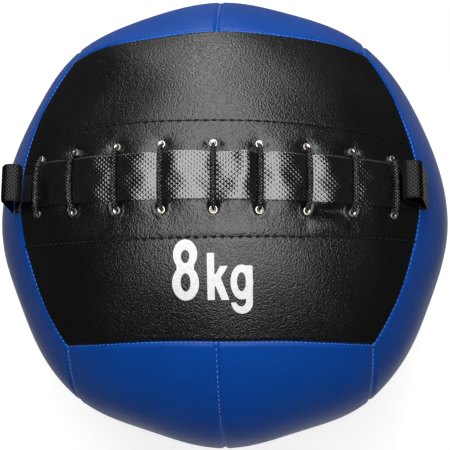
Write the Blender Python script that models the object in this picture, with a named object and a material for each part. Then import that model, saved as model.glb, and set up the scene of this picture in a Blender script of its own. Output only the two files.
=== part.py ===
"""Soft wall ball, 8 kg: stitched leather panels, foam, a laced mouth and two webbing loops.

The ball lies on its back with the laced panel up. Metres, +Z up. The origin is the
middle of the flat patch that the soft ball rests on.
"""

import math

import bmesh
import bpy
from mathutils import Matrix, Vector

# The ball.
BALL_RADIUS = 0.175
REST_PATCH_RADIUS = 0.045
RIPPLE_RISE = 0.0021
CORNER_RISE = 0.0016

# The stitched skin and what lies behind it.
LEATHER_THICKNESS = 0.002
FOAM_THICKNESS = 0.012
LINER_THICKNESS = 0.0012
FIT_GAP = 0.0003
SEAM_BAND = 0.005
SEAM_DIP = 0.0012
SAND_BAG_RADIUS = 0.070

# The laced mouth: a middle line that bows, and distances from it.
MOUTH_RISE_LEFT = 0.0015
MOUTH_RISE_MIDDLE = -0.0062
MOUTH_RISE_RIGHT = -0.0020
STRIP_WIDTH = 0.031
STRIP_THICKNESS = 0.0012
STRIP_END_SPACE = 0.0035
MOUTH_WIDTH = 0.021
FACING_WIDTH_MIDDLE = 0.031
FACING_WIDTH_END = 0.026
FACING_THICKNESS = 0.0012

# Eyelets and the lace.
EYELET_ROW_ANGLE = math.radians(44.8)
EYELET_SHARES = (-1.03, -0.75, -0.49, -0.255, 0.0, 0.222, 0.46, 0.712, 0.99)
EYELET_SPACE_MIDDLE = 0.0065
EYELET_SPACE_END = 0.0045
EYELET_BORE = 0.0038
EYELET_WALL = 0.00035
EYELET_FLANGE_WIDTH = 0.00055
EYELET_FLANGE_THICKNESS = 0.0006
WASHER_THICKNESS = 0.0008
LACE_DIAMETER = 0.0033
LACE_BEND = 0.0027
LACE_TAIL = 0.012
KNOT_RADIUS = 0.0028

# The two loops of webbing.
WEBBING_WIDTH = 0.026
WEBBING_THICKNESS = 0.0016
LOOP_LENGTH = 0.0405
LOOP_CREST_RADIUS = 0.007
LOOP_FORK = 0.006
TAIL_RISE = 0.0012
TAIL_DEPTH = 0.011
CUT_OVERRUN = 0.003
LEFT_LOOP_ANGLE = math.radians(25.0)
RIGHT_LOOP_ANGLE = math.radians(12.0)

# Where the seams run, as places on a ball of radius 1.
PANEL_CORNER_SHARES = (0.612, 0.606)
PANEL_SIDE_SHARE = 0.816
PANEL_TOP_SHARE = 0.627
BELT_SEAM_SHARE = 0.6225
RIDGE_BEARING = math.radians(50.0)

# How finely the surfaces are divided.
MOUTH_COLUMNS = len(EYELET_SHARES) + 1
TOP_STEPS = MOUTH_COLUMNS // 2
CORNER_STEPS = 3
BELT_STEPS = 6
STRIP_STEPS = 3
ROUND_STEPS = 8
CREST_STEPS = 9
NECK_STEPS = 4
MATCH_SHARE = 0.0001

LACE_RADIUS = LACE_DIAMETER / 2
EYELET_BARREL_RADIUS = EYELET_BORE / 2 + EYELET_WALL
FLANGE_RADIUS = EYELET_BARREL_RADIUS + EYELET_FLANGE_WIDTH
HOLE_RADIUS = EYELET_BARREL_RADIUS + FIT_GAP
WIDEST_CELL_SHARE = max(b - a for a, b in zip(EYELET_SHARES, EYELET_SHARES[1:]))
FOLD_DIP = FLANGE_RADIUS * EYELET_ROW_ANGLE * WIDEST_CELL_SHARE

# Depths below the ball's surface, from the outside in.
BEHIND_LEATHER = LEATHER_THICKNESS + FIT_GAP
FACING_BACK = BEHIND_LEATHER + FACING_THICKNESS
WASHER_FRONT = FACING_BACK + FIT_GAP + FOLD_DIP
WASHER_BACK = WASHER_FRONT + WASHER_THICKNESS
INNER_RUN_DEPTH = WASHER_BACK + LACE_BEND
TONGUE_BASE = INNER_RUN_DEPTH + LACE_RADIUS + FIT_GAP + FOLD_DIP
FOAM_BACK = BEHIND_LEATHER + FOAM_THICKNESS
LINER_FRONT = FOAM_BACK + FIT_GAP
LINER_BACK = LINER_FRONT + LINER_THICKNESS
FILL_FRONT = LINER_BACK + FIT_GAP
STRIP_FRONT = -FIT_GAP - STRIP_THICKNESS
FLANGE_FRONT = -FIT_GAP - EYELET_FLANGE_THICKNESS
RUNG_RISE = max(STRIP_THICKNESS + 2 * FIT_GAP + LACE_RADIUS, LACE_BEND - FLANGE_FRONT)

CENTRE = Vector((0, 0, math.sqrt(BALL_RADIUS ** 2 - REST_PATCH_RADIUS ** 2)))

materials = {}


def material(name, colour, roughness, metallic=0.0):
    """A plain Principled material, made once for each name."""
    if name not in materials:
        made = bpy.data.materials.new(name)
        made.use_nodes = True
        shader = made.node_tree.nodes["Principled BSDF"]
        shader.inputs["Base Color"].default_value = (*colour, 1)
        shader.inputs["Roughness"].default_value = roughness
        shader.inputs["Metallic"].default_value = metallic
        materials[name] = made
    return materials[name]


def black_leather():
    return material("black_leather", (0.010, 0.011, 0.012), 0.5)


def blue_leather():
    return material("blue_leather", (0.006, 0.075, 0.36), 0.45)


def foam():
    return material("foam", (0.30, 0.31, 0.32), 0.95)


def webbing():
    return material("black_webbing", (0.008, 0.008, 0.008), 0.8)


def black_cord():
    return material("black_cord", (0.012, 0.012, 0.012), 0.7)


def nickel():
    return material("nickel", (0.65, 0.60, 0.55), 0.25, 1.0)


def add_object(name, mesh, finish):
    """Put a mesh into the scene under its name."""
    mesh.materials.append(finish)
    made = bpy.data.objects.new(name, mesh)
    bpy.context.collection.objects.link(made)
    return made


def add_solid(name, points, faces, finish, smooth=True):
    """A closed solid from points and faces, with its faces turned outward."""
    mesh = bpy.data.meshes.new(name)
    mesh.from_pydata([tuple(point) for point in points], [], faces)
    solid = bmesh.new()
    solid.from_mesh(mesh)
    bmesh.ops.recalc_face_normals(solid, faces=solid.faces)
    solid.to_mesh(mesh)
    solid.free()
    if smooth:
        mesh.shade_smooth()
        mesh.set_sharp_from_angle(angle=math.radians(35))
    return add_object(name, mesh, finish)


def cut(target, cutter):
    """Take one shape out of a solid."""
    hole = target.modifiers.new("cut", "BOOLEAN")
    hole.operation = "DIFFERENCE"
    hole.solver = "EXACT"
    hole.object = cutter
    cutter.hide_render = True
    cutter.display_type = "WIRE"


# The shape of the ball.


def ball_radius(direction):
    """The outer radius along a direction: the belt stands proud at its seams."""
    bearing = math.atan2(abs(direction.y), abs(direction.x))
    if bearing < RIDGE_BEARING:
        turned = bearing / RIDGE_BEARING * math.pi / 4
    else:
        turned = math.pi / 2 - (math.pi / 2 - bearing) / (math.pi / 2 - RIDGE_BEARING) * math.pi / 4
    belt = (1 - direction.z ** 2) ** 2
    ripple = RIPPLE_RISE * math.cos(8 * turned) - CORNER_RISE * math.cos(4 * turned)
    return BALL_RADIUS + belt * ripple


def skin_point(direction, depth):
    """The point at a depth below the ball's surface, with the flat patch that it rests on."""
    point = CENTRE + direction * (ball_radius(direction) - depth)
    if direction.z < 0:
        point.z = max(point.z, depth)
    return point


def direction_at(longitude, rise):
    """The direction at an angle round the ball's Y axis and a height along that axis."""
    up = rise / BALL_RADIUS
    across = math.sqrt(1 - up ** 2)
    return Vector((across * math.sin(longitude), up, across * math.cos(longitude)))


def unit(x, y):
    """The point of the unit ball's front half over (x, y)."""
    return Vector((x, y, math.sqrt(1 - x * x - y * y)))


class Arc:
    """A circular arc on the unit ball, from start through middle to end, even about its middle."""

    def __init__(self, start, middle, end):
        chord = end - start
        half = chord.length / 2
        height = (middle - (start + end) / 2).length
        self.radius = (half ** 2 + height ** 2) / (2 * height)
        self.outward = (middle - (start + end) / 2).normalized()
        self.along = chord.normalized()
        self.centre = middle - self.outward * self.radius
        self.reach = math.atan2(half, self.radius - height)

    def at(self, share):
        """The point at a share of the arc, from -1 at its start to 1 at its end."""
        angle = share * self.reach
        turned = self.outward * math.cos(angle) + self.along * math.sin(angle)
        return (self.centre + turned * self.radius).normalized()

    def share_at(self, height):
        """The share at which the arc has moved a height along its chord from its middle."""
        return math.asin(height / self.radius) / self.reach


def flipped(direction):
    """The same place on the back of the ball."""
    return Vector((direction.x, direction.y, -direction.z))


CORNER_X, CORNER_Y = PANEL_CORNER_SHARES
CORNER_UR = unit(CORNER_X, CORNER_Y)
CORNER_LR = unit(CORNER_X, -CORNER_Y)
CORNER_UL = unit(-CORNER_X, CORNER_Y)
CORNER_LL = unit(-CORNER_X, -CORNER_Y)
RIGHT_EDGE = Arc(CORNER_LR, unit(PANEL_SIDE_SHARE, 0), CORNER_UR)
LEFT_EDGE = Arc(CORNER_LL, unit(-PANEL_SIDE_SHARE, 0), CORNER_UL)
TOP_EDGE = Arc(CORNER_UL, unit(0, PANEL_TOP_SHARE), CORNER_UR)
BOTTOM_EDGE = Arc(CORNER_LL, unit(0, -PANEL_TOP_SHARE), CORNER_LR)


def belt_seam(front):
    """The seam of the belt that runs from a corner of the front panel round to the back."""
    side = math.copysign(BELT_SEAM_SHARE, front.x) if abs(front.x) > BELT_SEAM_SHARE / 2 else 0
    middle = Vector((side, math.copysign(math.sqrt(1 - side ** 2), front.y), 0))
    return Arc(front, middle, flipped(front))


# The lines of the mouth. A place along it is a share, about -1 at the left end eyelet, 1 at the right.


def middle_rise(share):
    """How high the middle line of the mouth runs."""
    tilt = (MOUTH_RISE_RIGHT - MOUTH_RISE_LEFT) / 2
    bow = (MOUTH_RISE_RIGHT + MOUTH_RISE_LEFT) / 2 - MOUTH_RISE_MIDDLE
    return MOUTH_RISE_MIDDLE + tilt * share + bow * share ** 2


def spread(middle, end, share):
    """A distance from the middle line that changes evenly toward the ends."""
    return middle + (end - middle) * min(share ** 2, 1)


def strip_offset(share):
    return STRIP_WIDTH / 2


def tongue_offset(share):
    return MOUTH_WIDTH / 2 - 2 * FIT_GAP


def lip_offset(share):
    return MOUTH_WIDTH / 2


def eyelet_offset(share):
    return STRIP_WIDTH / 2 + spread(EYELET_SPACE_MIDDLE, EYELET_SPACE_END, share)


def facing_offset(share):
    return MOUTH_WIDTH / 2 + spread(FACING_WIDTH_MIDDLE, FACING_WIDTH_END, share)


def edge_share(edge, side, offset, way):
    """Where a line of the mouth meets the left or right edge of the front panel."""
    share = side * math.atan2(PANEL_SIDE_SHARE, unit(PANEL_SIDE_SHARE, 0).z) / EYELET_ROW_ANGLE
    rise = middle_rise(share) + way * offset(share)
    return edge.share_at(rise / BALL_RADIUS)


def mouth_line(offset, way, end_space=0.0):
    """A line along the mouth: a point on each edge of the panel and one at each eyelet."""
    line = [LEFT_EDGE.at(edge_share(LEFT_EDGE, -1, offset, way))]
    for share in EYELET_SHARES:
        rise = middle_rise(share) + way * offset(share)
        line.append(direction_at(share * EYELET_ROW_ANGLE, rise))
    line.append(RIGHT_EDGE.at(edge_share(RIGHT_EDGE, 1, offset, way)))
    if end_space:
        line[0] = toward(line[0], line[1], end_space)
        line[-1] = toward(line[-1], line[-2], end_space)
    return line


def toward(start, end, distance):
    """The direction that lies a distance from start on the way to end."""
    gap = (end - start).length * BALL_RADIUS
    return start.lerp(end, distance / gap).normalized()


# Grids of directions.


def lerp(low, high, share):
    return low + (high - low) * share


def even_shares(line):
    return [step / (len(line) - 1) for step in range(len(line))]


def filled(bottom, top, left, right, row_shares=None, column_shares=None):
    """A grid between four lines that share their ends, row by row from bottom to top."""
    rows = []
    for i, v in enumerate(row_shares or even_shares(left)):
        row = []
        for j, u in enumerate(column_shares or even_shares(bottom)):
            along = lerp(bottom[j], top[j], v) + lerp(left[i], right[i], u)
            corners = lerp(lerp(bottom[0], bottom[-1], u), lerp(top[0], top[-1], u), v)
            row.append((along - corners).normalized())
        rows.append(row)
    return rows


def side_shares(edge, side):
    """Where the grid's rows meet a side edge of the front panel, from its lower corner up."""
    lines = [(facing_offset, -1), (eyelet_offset, -1), (lip_offset, -1)]
    lines += [(lip_offset, 1), (eyelet_offset, 1), (facing_offset, 1)]
    inner = [edge_share(edge, side, offset, way) for offset, way in lines]
    low = [lerp(-1, inner[0], step / CORNER_STEPS) for step in range(CORNER_STEPS)]
    high = [lerp(inner[-1], 1, (step + 1) / CORNER_STEPS) for step in range(CORNER_STEPS)]
    return low + inner + high


LEFT_SHARES = side_shares(LEFT_EDGE, -1)
RIGHT_SHARES = side_shares(RIGHT_EDGE, 1)
ROW_SHARES = [(share + 1) / 2 for share in LEFT_SHARES]
COLUMN_SHARES = [2 * column / MOUTH_COLUMNS - 1 for column in range(MOUTH_COLUMNS + 1)]
BELT_SHARES = [2 * step / BELT_STEPS - 1 for step in range(BELT_STEPS + 1)]
TOP_LINE = [TOP_EDGE.at(share) for share in COLUMN_SHARES]
BOTTOM_LINE = [BOTTOM_EDGE.at(share) for share in COLUMN_SHARES]


def front_outer_grid(way):
    """The front panel from the edge of its facing to the top or bottom seam."""
    inner = mouth_line(facing_offset, way)
    if way > 0:
        picked, outer = slice(-CORNER_STEPS - 1, None), TOP_LINE
    else:
        picked, outer = slice(CORNER_STEPS, None, -1), BOTTOM_LINE
    left = [LEFT_EDGE.at(share) for share in LEFT_SHARES[picked]]
    right = [RIGHT_EDGE.at(share) for share in RIGHT_SHARES[picked]]
    return filled(inner, outer, left, right)


def facing_grid(way):
    """The band from the lip of the mouth through its eyelets to the edge of the facing."""
    offsets = (lip_offset, eyelet_offset, facing_offset)
    return [mouth_line(offset, way) for offset in offsets]


def middle_grid():
    """The mouth itself, between its two lips."""
    return [mouth_line(lip_offset, -1), mouth_line(lip_offset, 1)]


def side_grid(side):
    """The belt panel to the left or right, from the front edge round to the back edge."""
    edge, shares = (RIGHT_EDGE, RIGHT_SHARES) if side > 0 else (LEFT_EDGE, LEFT_SHARES)
    front = [edge.at(share) for share in shares]
    back = [flipped(place) for place in front]
    low = [belt_seam(front[0]).at(share) for share in BELT_SHARES]
    high = [belt_seam(front[-1]).at(share) for share in BELT_SHARES]
    return filled(front, back, low, high, column_shares=ROW_SHARES)


def belt_grid(side, way):
    """One of the four belt panels above or below the front panel."""
    edge = TOP_EDGE if way > 0 else BOTTOM_EDGE
    front = [edge.at(side * step / TOP_STEPS) for step in range(TOP_STEPS + 1)]
    back = [flipped(place) for place in front]
    inner = [belt_seam(front[0]).at(share) for share in BELT_SHARES]
    outer = [belt_seam(front[-1]).at(share) for share in BELT_SHARES]
    return filled(front, back, inner, outer)


def back_grid():
    """The back panel, whose outline is the front panel's."""
    left = [flipped(LEFT_EDGE.at(share)) for share in LEFT_SHARES]
    right = [flipped(RIGHT_EDGE.at(share)) for share in RIGHT_SHARES]
    low = [flipped(place) for place in BOTTOM_LINE]
    high = [flipped(place) for place in TOP_LINE]
    return filled(low, high, left, right, row_shares=ROW_SHARES)


def transposed(grid):
    return [list(row) for row in zip(*grid)]


def drawn_in(grid, sides, distance):
    """Move the named sides of a grid inward, which leaves the gap of a seam."""
    grid = [list(row) for row in grid]
    if "start" in sides:
        grid[0] = [toward(a, b, distance) for a, b in zip(grid[0], grid[1])]
    if "end" in sides:
        grid[-1] = [toward(a, b, distance) for a, b in zip(grid[-1], grid[-2])]
    return grid


def banded(grid, dips, sides):
    """Add a row near the named sides, where the leather turns down into its seam."""
    grid = [list(row) for row in grid]
    dips = [list(row) for row in dips]
    if "start" in sides:
        grid.insert(1, [toward(a, b, SEAM_BAND) for a, b in zip(grid[0], grid[1])])
        dips.insert(1, list(dips[0]))
        dips[0] = [SEAM_DIP] * len(dips[0])
    if "end" in sides:
        grid.insert(-1, [toward(a, b, SEAM_BAND) for a, b in zip(grid[-1], grid[-2])])
        dips.insert(-1, list(dips[-1]))
        dips[-1] = [SEAM_DIP] * len(dips[-1])
    return grid, dips


def with_gaps(grid, rows="start end", columns="start end"):
    """A grid drawn in by half a gap along its seams."""
    grid = drawn_in(grid, rows, FIT_GAP / 2)
    return transposed(drawn_in(transposed(grid), columns, FIT_GAP / 2))


def with_seams(grid, rows="start end", columns="start end"):
    """A grid with its gaps and the bands that turn down into its seams."""
    dips = [[0.0] * len(row) for row in grid]
    grid, dips = banded(grid, dips, rows)
    grid, dips = banded(transposed(grid), transposed(dips), columns)
    return with_gaps(transposed(grid), rows, columns), transposed(dips)


# Solids made from grids.


def grid_faces(grid, index):
    """Two triangles for each cell, with the same diagonal in every layer."""
    faces = []
    for i in range(len(grid) - 1):
        for j in range(len(grid[0]) - 1):
            a, b = index(i, j), index(i, j + 1)
            c, d = index(i + 1, j + 1), index(i + 1, j)
            faces.append((a, b, c))
            faces.append((a, c, d))
    return faces


def open_edges(faces):
    """The directed edges that only one face uses."""
    edges = {(face[k], face[(k + 1) % 3]) for face in faces for k in range(3)}
    return [edge for edge in edges if (edge[1], edge[0]) not in edges]


def shell(name, grid, outer, inner, finish, dips=None):
    """A layer of the ball between two depths, closed round its edge."""
    rows, columns = len(grid), len(grid[0])
    count = rows * columns
    points = []
    for i in range(rows):
        for j in range(columns):
            dip = dips[i][j] if dips else 0
            points.append(skin_point(grid[i][j], outer + dip))
    points += [skin_point(place, inner) for row in grid for place in row]
    faces = grid_faces(grid, lambda i, j: i * columns + j)
    walls = [(b, a, a + count, b + count) for a, b in open_edges(faces)]
    walls = [half for a, b, c, d in walls for half in ((a, b, c), (a, c, d))]
    back = [(c + count, b + count, a + count) for a, b, c in faces]
    return add_solid(name, points, faces + back + walls, finish)


def number_of(place, places):
    """The number of a direction in a list, which takes it in if it is new."""
    for number, known in enumerate(places):
        if (known - place).length < MATCH_SHARE:
            return number
    places.append(place)
    return len(places) - 1


def welded(grids):
    """The distinct directions of several grids that meet, and their faces turned outward."""
    places = []
    faces = []
    for grid in grids:
        numbers = [[number_of(place, places) for place in row] for row in grid]
        for a, b, c in grid_faces(grid, lambda i, j: numbers[i][j]):
            turned = (places[b] - places[a]).cross(places[c] - places[a])
            faces.append((a, b, c) if turned.dot(places[a]) > 0 else (a, c, b))
    return places, faces


def belt_grids():
    grids = [side_grid(-1), side_grid(1)]
    return grids + [belt_grid(side, way) for way in (1, -1) for side in (-1, 1)]


def front_grids():
    grids = [front_outer_grid(way) for way in (1, -1)]
    return grids + [facing_grid(way) for way in (1, -1)] + [middle_grid()]


# The skin.


def front_panel(way, name):
    """Half of the laced panel, with a row of holes for its eyelets."""
    grid = facing_grid(way) + front_outer_grid(way)[1:]
    grid, dips = with_seams(grid, rows="end")
    return shell(name, grid, 0, LEATHER_THICKNESS, black_leather(), dips)


def leather_panel(name, grid, finish):
    """A whole panel of the skin."""
    grid, dips = with_seams(grid)
    return shell(name, grid, 0, LEATHER_THICKNESS, finish, dips)


def foam_pad(name, grid, rows="start end"):
    """The foam that backs one panel."""
    return shell(name, with_gaps(grid, rows), BEHIND_LEATHER, FOAM_BACK, foam())


def eyelet_facing(way, name):
    """The hem of the mouth: a second layer of leather behind the eyelets."""
    grid = transposed(drawn_in(transposed(facing_grid(way)), "start end", SEAM_BAND))
    grid = drawn_in(grid, "end", FIT_GAP)
    return shell(name, grid, BEHIND_LEATHER, FACING_BACK, black_leather())


def closure_strip():
    """The coated fabric strip that covers the mouth under the lace."""
    low = mouth_line(strip_offset, -1, STRIP_END_SPACE)
    high = mouth_line(strip_offset, 1, STRIP_END_SPACE)
    grid = []
    for step in range(STRIP_STEPS + 1):
        grid.append([lerp(a, b, step / STRIP_STEPS).normalized() for a, b in zip(low, high)])
    finish = material("coated_fabric", (0.012, 0.013, 0.014), 0.3)
    return shell("closure_strip", grid, STRIP_FRONT, -FIT_GAP, finish)


def closure_tongue():
    """The foam behind the mouth: a base under the lace and a rib that fills the mouth."""
    lines = [(facing_offset, -1), (eyelet_offset, -1), (lip_offset, -1)]
    lines += [(lip_offset, 1), (eyelet_offset, 1), (facing_offset, 1)]
    base = [mouth_line(offset, way, SEAM_BAND) for offset, way in lines]
    rib = [mouth_line(tongue_offset, way, SEAM_BAND) for way in (1, -1)]
    base = drawn_in(base, "start end", FIT_GAP)
    outline = [(line, FOAM_BACK) for line in base]
    outline += [(base[-1], TONGUE_BASE), (rib[0], TONGUE_BASE), (rib[0], 0)]
    outline += [(rib[1], 0), (rib[1], TONGUE_BASE), (base[0], TONGUE_BASE)]
    columns = len(rib[0])
    count = len(outline)
    points = [skin_point(line[j], depth) for j in range(columns) for line, depth in outline]
    faces = []
    for j in range(columns - 1):
        for i in range(count):
            near, far = i, (i + 1) % count
            a, b = j * count + near, j * count + far
            faces.append((a, b, b + count))
            faces.append((a, b + count, a + count))
    faces.append(tuple(range(count)))
    faces.append(tuple(reversed(range((columns - 1) * count, columns * count))))
    return add_solid("closure_tongue", points, faces, foam())


# What fills the skin.


def inner_liner():
    """The cloth bag that holds the filling, with its mouth behind the lace."""
    mouth = middle_grid()
    ends = [[line[:3] for line in mouth], [line[-3:] for line in mouth]]
    grids = front_grids()[:-1] + ends + belt_grids() + [back_grid()]
    places, faces = welded(grids)
    count = len(places)
    points = [skin_point(place, LINER_FRONT) for place in places]
    points += [skin_point(place, LINER_BACK) for place in places]
    walls = []
    for a, b in open_edges(faces):
        walls.append((b, a, a + count))
        walls.append((b, a + count, b + count))
    back = [(c + count, b + count, a + count) for a, b, c in faces]
    finish = material("liner_cloth", (0.55, 0.53, 0.48), 0.95)
    return add_solid("inner_liner", points, faces + back + walls, finish)


def sand_bag_shape(name, radius, finish):
    """A round bag at the ball's middle."""
    mesh = bpy.data.meshes.new(name)
    bag = bmesh.new()
    bmesh.ops.create_uvsphere(bag, u_segments=2 * ROUND_STEPS, v_segments=ROUND_STEPS, radius=radius)
    bmesh.ops.translate(bag, verts=bag.verts, vec=CENTRE)
    bmesh.ops.triangulate(bag, faces=bag.faces)
    bag.to_mesh(mesh)
    bag.free()
    mesh.shade_smooth()
    return add_object(name, mesh, finish)


def fill_half(name, way):
    """Half of the packed textile filling, with the pocket for the sand bag."""
    half = BELT_STEPS // 2
    if way > 0:
        grids = front_grids() + [grid[:half + 1] for grid in belt_grids()]
    else:
        grids = [back_grid()] + [grid[half:] for grid in belt_grids()]
    places, faces = welded(grids)
    points = [skin_point(place, FILL_FRONT) for place in places]
    for point, place in zip(points, places):
        if abs(place.z) < FIT_GAP:
            point.z = CENTRE.z + way * FIT_GAP / 2
    middle = len(points)
    points.append(CENTRE + Vector((0, 0, way * FIT_GAP / 2)))
    lids = [(b, a, middle) for a, b in open_edges(faces)]
    finish = material("textile_fill", (0.42, 0.40, 0.38), 1.0)
    solid = add_solid(name, points, faces + lids, finish)
    cut(solid, sand_bag_shape(name + "_pocket", SAND_BAG_RADIUS + 2 * FIT_GAP, finish))
    return solid


# Eyelets.


class Place:
    """A place on the ball with its outward, upward and rightward directions."""

    def __init__(self, direction):
        self.out = direction.copy()
        self.right = Vector((0, 1, 0)).cross(self.out).normalized()
        self.up = self.out.cross(self.right)
        self.origin = skin_point(direction, 0)

    def point(self, right, up, out):
        return self.origin + self.right * right + self.up * up + self.out * out

    def matrix(self):
        turned = Matrix((self.right, self.up, self.out)).transposed()
        return Matrix.Translation(self.origin) @ turned.to_4x4()


def turned_solid(place, outline):
    """Points and faces of a closed outline of (radius, height) turned about a place's normal."""
    points = []
    faces = []
    size = len(outline)
    for step in range(ROUND_STEPS):
        angle = 2 * math.pi * step / ROUND_STEPS
        for radius, height in outline:
            points.append(place.point(radius * math.cos(angle), radius * math.sin(angle), height))
        following = (step + 1) % ROUND_STEPS
        for k in range(size):
            a, b = step * size + k, step * size + (k + 1) % size
            c, d = following * size + (k + 1) % size, following * size + k
            faces += [(a, b, c), (a, c, d)]
    return points, faces


def eyelet_places(way):
    return [Place(direction) for direction in mouth_line(eyelet_offset, way)[1:-1]]


def eyelets(name, way):
    """A row of eyelets: a flange outside, a barrel through the leather, a washer crimped behind."""
    bore = EYELET_BORE / 2
    outline = [
        (bore, -FLANGE_FRONT),
        (FLANGE_RADIUS, -FLANGE_FRONT),
        (FLANGE_RADIUS, FIT_GAP),
        (EYELET_BARREL_RADIUS, FIT_GAP),
        (EYELET_BARREL_RADIUS, -WASHER_FRONT),
        (FLANGE_RADIUS, -WASHER_FRONT),
        (FLANGE_RADIUS, -WASHER_BACK),
        (bore, -WASHER_BACK),
    ]
    for number, place in enumerate(eyelet_places(way), start=1):
        add_solid(f"{name}_{number}", *turned_solid(place, outline), nickel())


def eyelet_drills(name, way):
    """The drills for a row of eyelet holes."""
    mesh = bpy.data.meshes.new(name)
    drills = bmesh.new()
    for place in eyelet_places(way):
        bmesh.ops.create_cone(
            drills,
            cap_ends=True,
            segments=ROUND_STEPS,
            radius1=HOLE_RADIUS,
            radius2=HOLE_RADIUS,
            depth=2 * (FACING_BACK + CUT_OVERRUN),
            matrix=place.matrix(),
        )
    drills.to_mesh(mesh)
    drills.free()
    return add_object(name, mesh, nickel())


# The lace.


def quarter_bend(place, heading, outside):
    """Three points from the axis of an eyelet round to a run along the leather."""
    start = -FLANGE_FRONT if outside else -WASHER_BACK
    sign = 1 if outside else -1
    points = []
    for step in range(3):
        angle = math.radians(45) * step
        away = LACE_BEND * (1 - math.cos(angle))
        out = start + sign * LACE_BEND * math.sin(angle)
        points.append(place.origin + heading * away + place.out * out)
    return points


def run_between(start, end, depth, count):
    """Points on the way from one place to another at a depth below the surface."""
    points = []
    for step in range(1, count + 1):
        direction = start.out.lerp(end.out, step / (count + 1)).normalized()
        points.append(skin_point(direction, depth))
    return points


def heading(start, end):
    """The direction along the leather from one place to another."""
    way = end.origin - start.origin
    return (way - start.out * way.dot(start.out)).normalized()


def lace_route():
    """One cord: over the strip at each pair of eyelets, and along the inside to the next pair."""
    upper, lower = eyelet_places(1), eyelet_places(-1)
    route = []
    last = len(EYELET_SHARES) - 1
    for column in range(last + 1):
        first, second = (upper, lower) if column % 2 == 0 else (lower, upper)
        enter, leave = first[column], second[column]
        arriving = heading(enter, first[column - 1]) if column else -enter.right
        if column == 0:
            route.append(enter.origin + arriving * LACE_TAIL - enter.out * INNER_RUN_DEPTH)
        else:
            route += run_between(first[column - 1], enter, INNER_RUN_DEPTH, 1)
        route += reversed(quarter_bend(enter, arriving, False))
        route += quarter_bend(enter, heading(enter, leave), True)
        route += run_between(enter, leave, -RUNG_RISE, 3)
        route += reversed(quarter_bend(leave, heading(leave, enter), True))
        onward = heading(leave, second[column + 1]) if column < last else leave.right
        route += quarter_bend(leave, onward, False)
    route.append(leave.origin + onward * LACE_TAIL - leave.out * INNER_RUN_DEPTH)
    return route


def lace():
    """The braided cord, whole, from knot to knot."""
    route = lace_route()
    curve = bpy.data.curves.new("lace", "CURVE")
    curve.dimensions = "3D"
    curve.bevel_depth = LACE_RADIUS
    curve.bevel_resolution = 2
    curve.use_fill_caps = True
    spline = curve.splines.new("POLY")
    spline.points.add(len(route) - 1)
    for point, place in zip(spline.points, route):
        point.co = (*place, 1)
    length = sum((b - a).length for a, b in zip(route, route[1:]))
    print(f"lace: {len(route)} points, {length:.3f} m long")
    return add_object("lace", curve, black_cord())


def lace_knot(name, end, before):
    """A stopper knot just past one end of the lace."""
    mesh = bpy.data.meshes.new(name)
    knot = bmesh.new()
    bmesh.ops.create_icosphere(knot, subdivisions=2, radius=KNOT_RADIUS)
    middle = end + (end - before).normalized() * (KNOT_RADIUS + FIT_GAP)
    bmesh.ops.translate(knot, verts=knot.verts, vec=middle)
    knot.to_mesh(mesh)
    knot.free()
    mesh.shade_smooth()
    return add_object(name, mesh, black_cord())


# The loops.


NECK_RADIUS = WEBBING_THICKNESS + FIT_GAP / 2
HINGE_RISE = TAIL_RISE + FIT_GAP + NECK_RADIUS
TAIL_SPACE = FIT_GAP + WEBBING_THICKNESS


class LoopSeat:
    """Where a loop is sewn in: a point on the side seam with inward, outward and level directions."""

    def __init__(self, side):
        self.out = unit(side * PANEL_SIDE_SHARE, 0)
        self.level = Vector((0, 1, 0))
        self.inward = Vector((-side * self.out.z, 0, side * self.out.x))
        self.origin = skin_point(self.out, 0)

    def point(self, inward, level, out):
        return self.origin + self.inward * inward + self.level * level + self.out * out

    def hinge(self):
        return self.point(-TAIL_SPACE, 0, HINGE_RISE)


def box_at(name, seat, inward, level, out, finish):
    """A block between pairs of distances from a loop's seat."""
    points = [seat.point(a, b, c) for a in inward for b in level for c in out]
    faces = [(0, 1, 3, 2), (4, 6, 7, 5), (0, 4, 5, 1), (2, 3, 7, 6), (0, 2, 6, 4), (1, 5, 7, 3)]
    return add_solid(name, points, faces, finish, smooth=False)


def loop_tail(name, side):
    """The two ends of a loop's webbing, doubled and sewn into the side seam."""
    seat = LoopSeat(side)
    half = WEBBING_WIDTH / 2
    inward = (-FIT_GAP - 2 * WEBBING_THICKNESS, -FIT_GAP)
    return box_at(name, seat, inward, (-half, half), (-TAIL_DEPTH, TAIL_RISE), webbing())


def tail_cutter(name, side):
    """The notch in the belt panel and its foam that a loop's tail passes through."""
    seat = LoopSeat(side)
    half = WEBBING_WIDTH / 2 + FIT_GAP
    inward = (-2 * FIT_GAP - 2 * WEBBING_THICKNESS, CUT_OVERRUN)
    out = (-TAIL_DEPTH - FIT_GAP, CUT_OVERRUN)
    return box_at(name, seat, inward, (-half, half), out, webbing())


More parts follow.
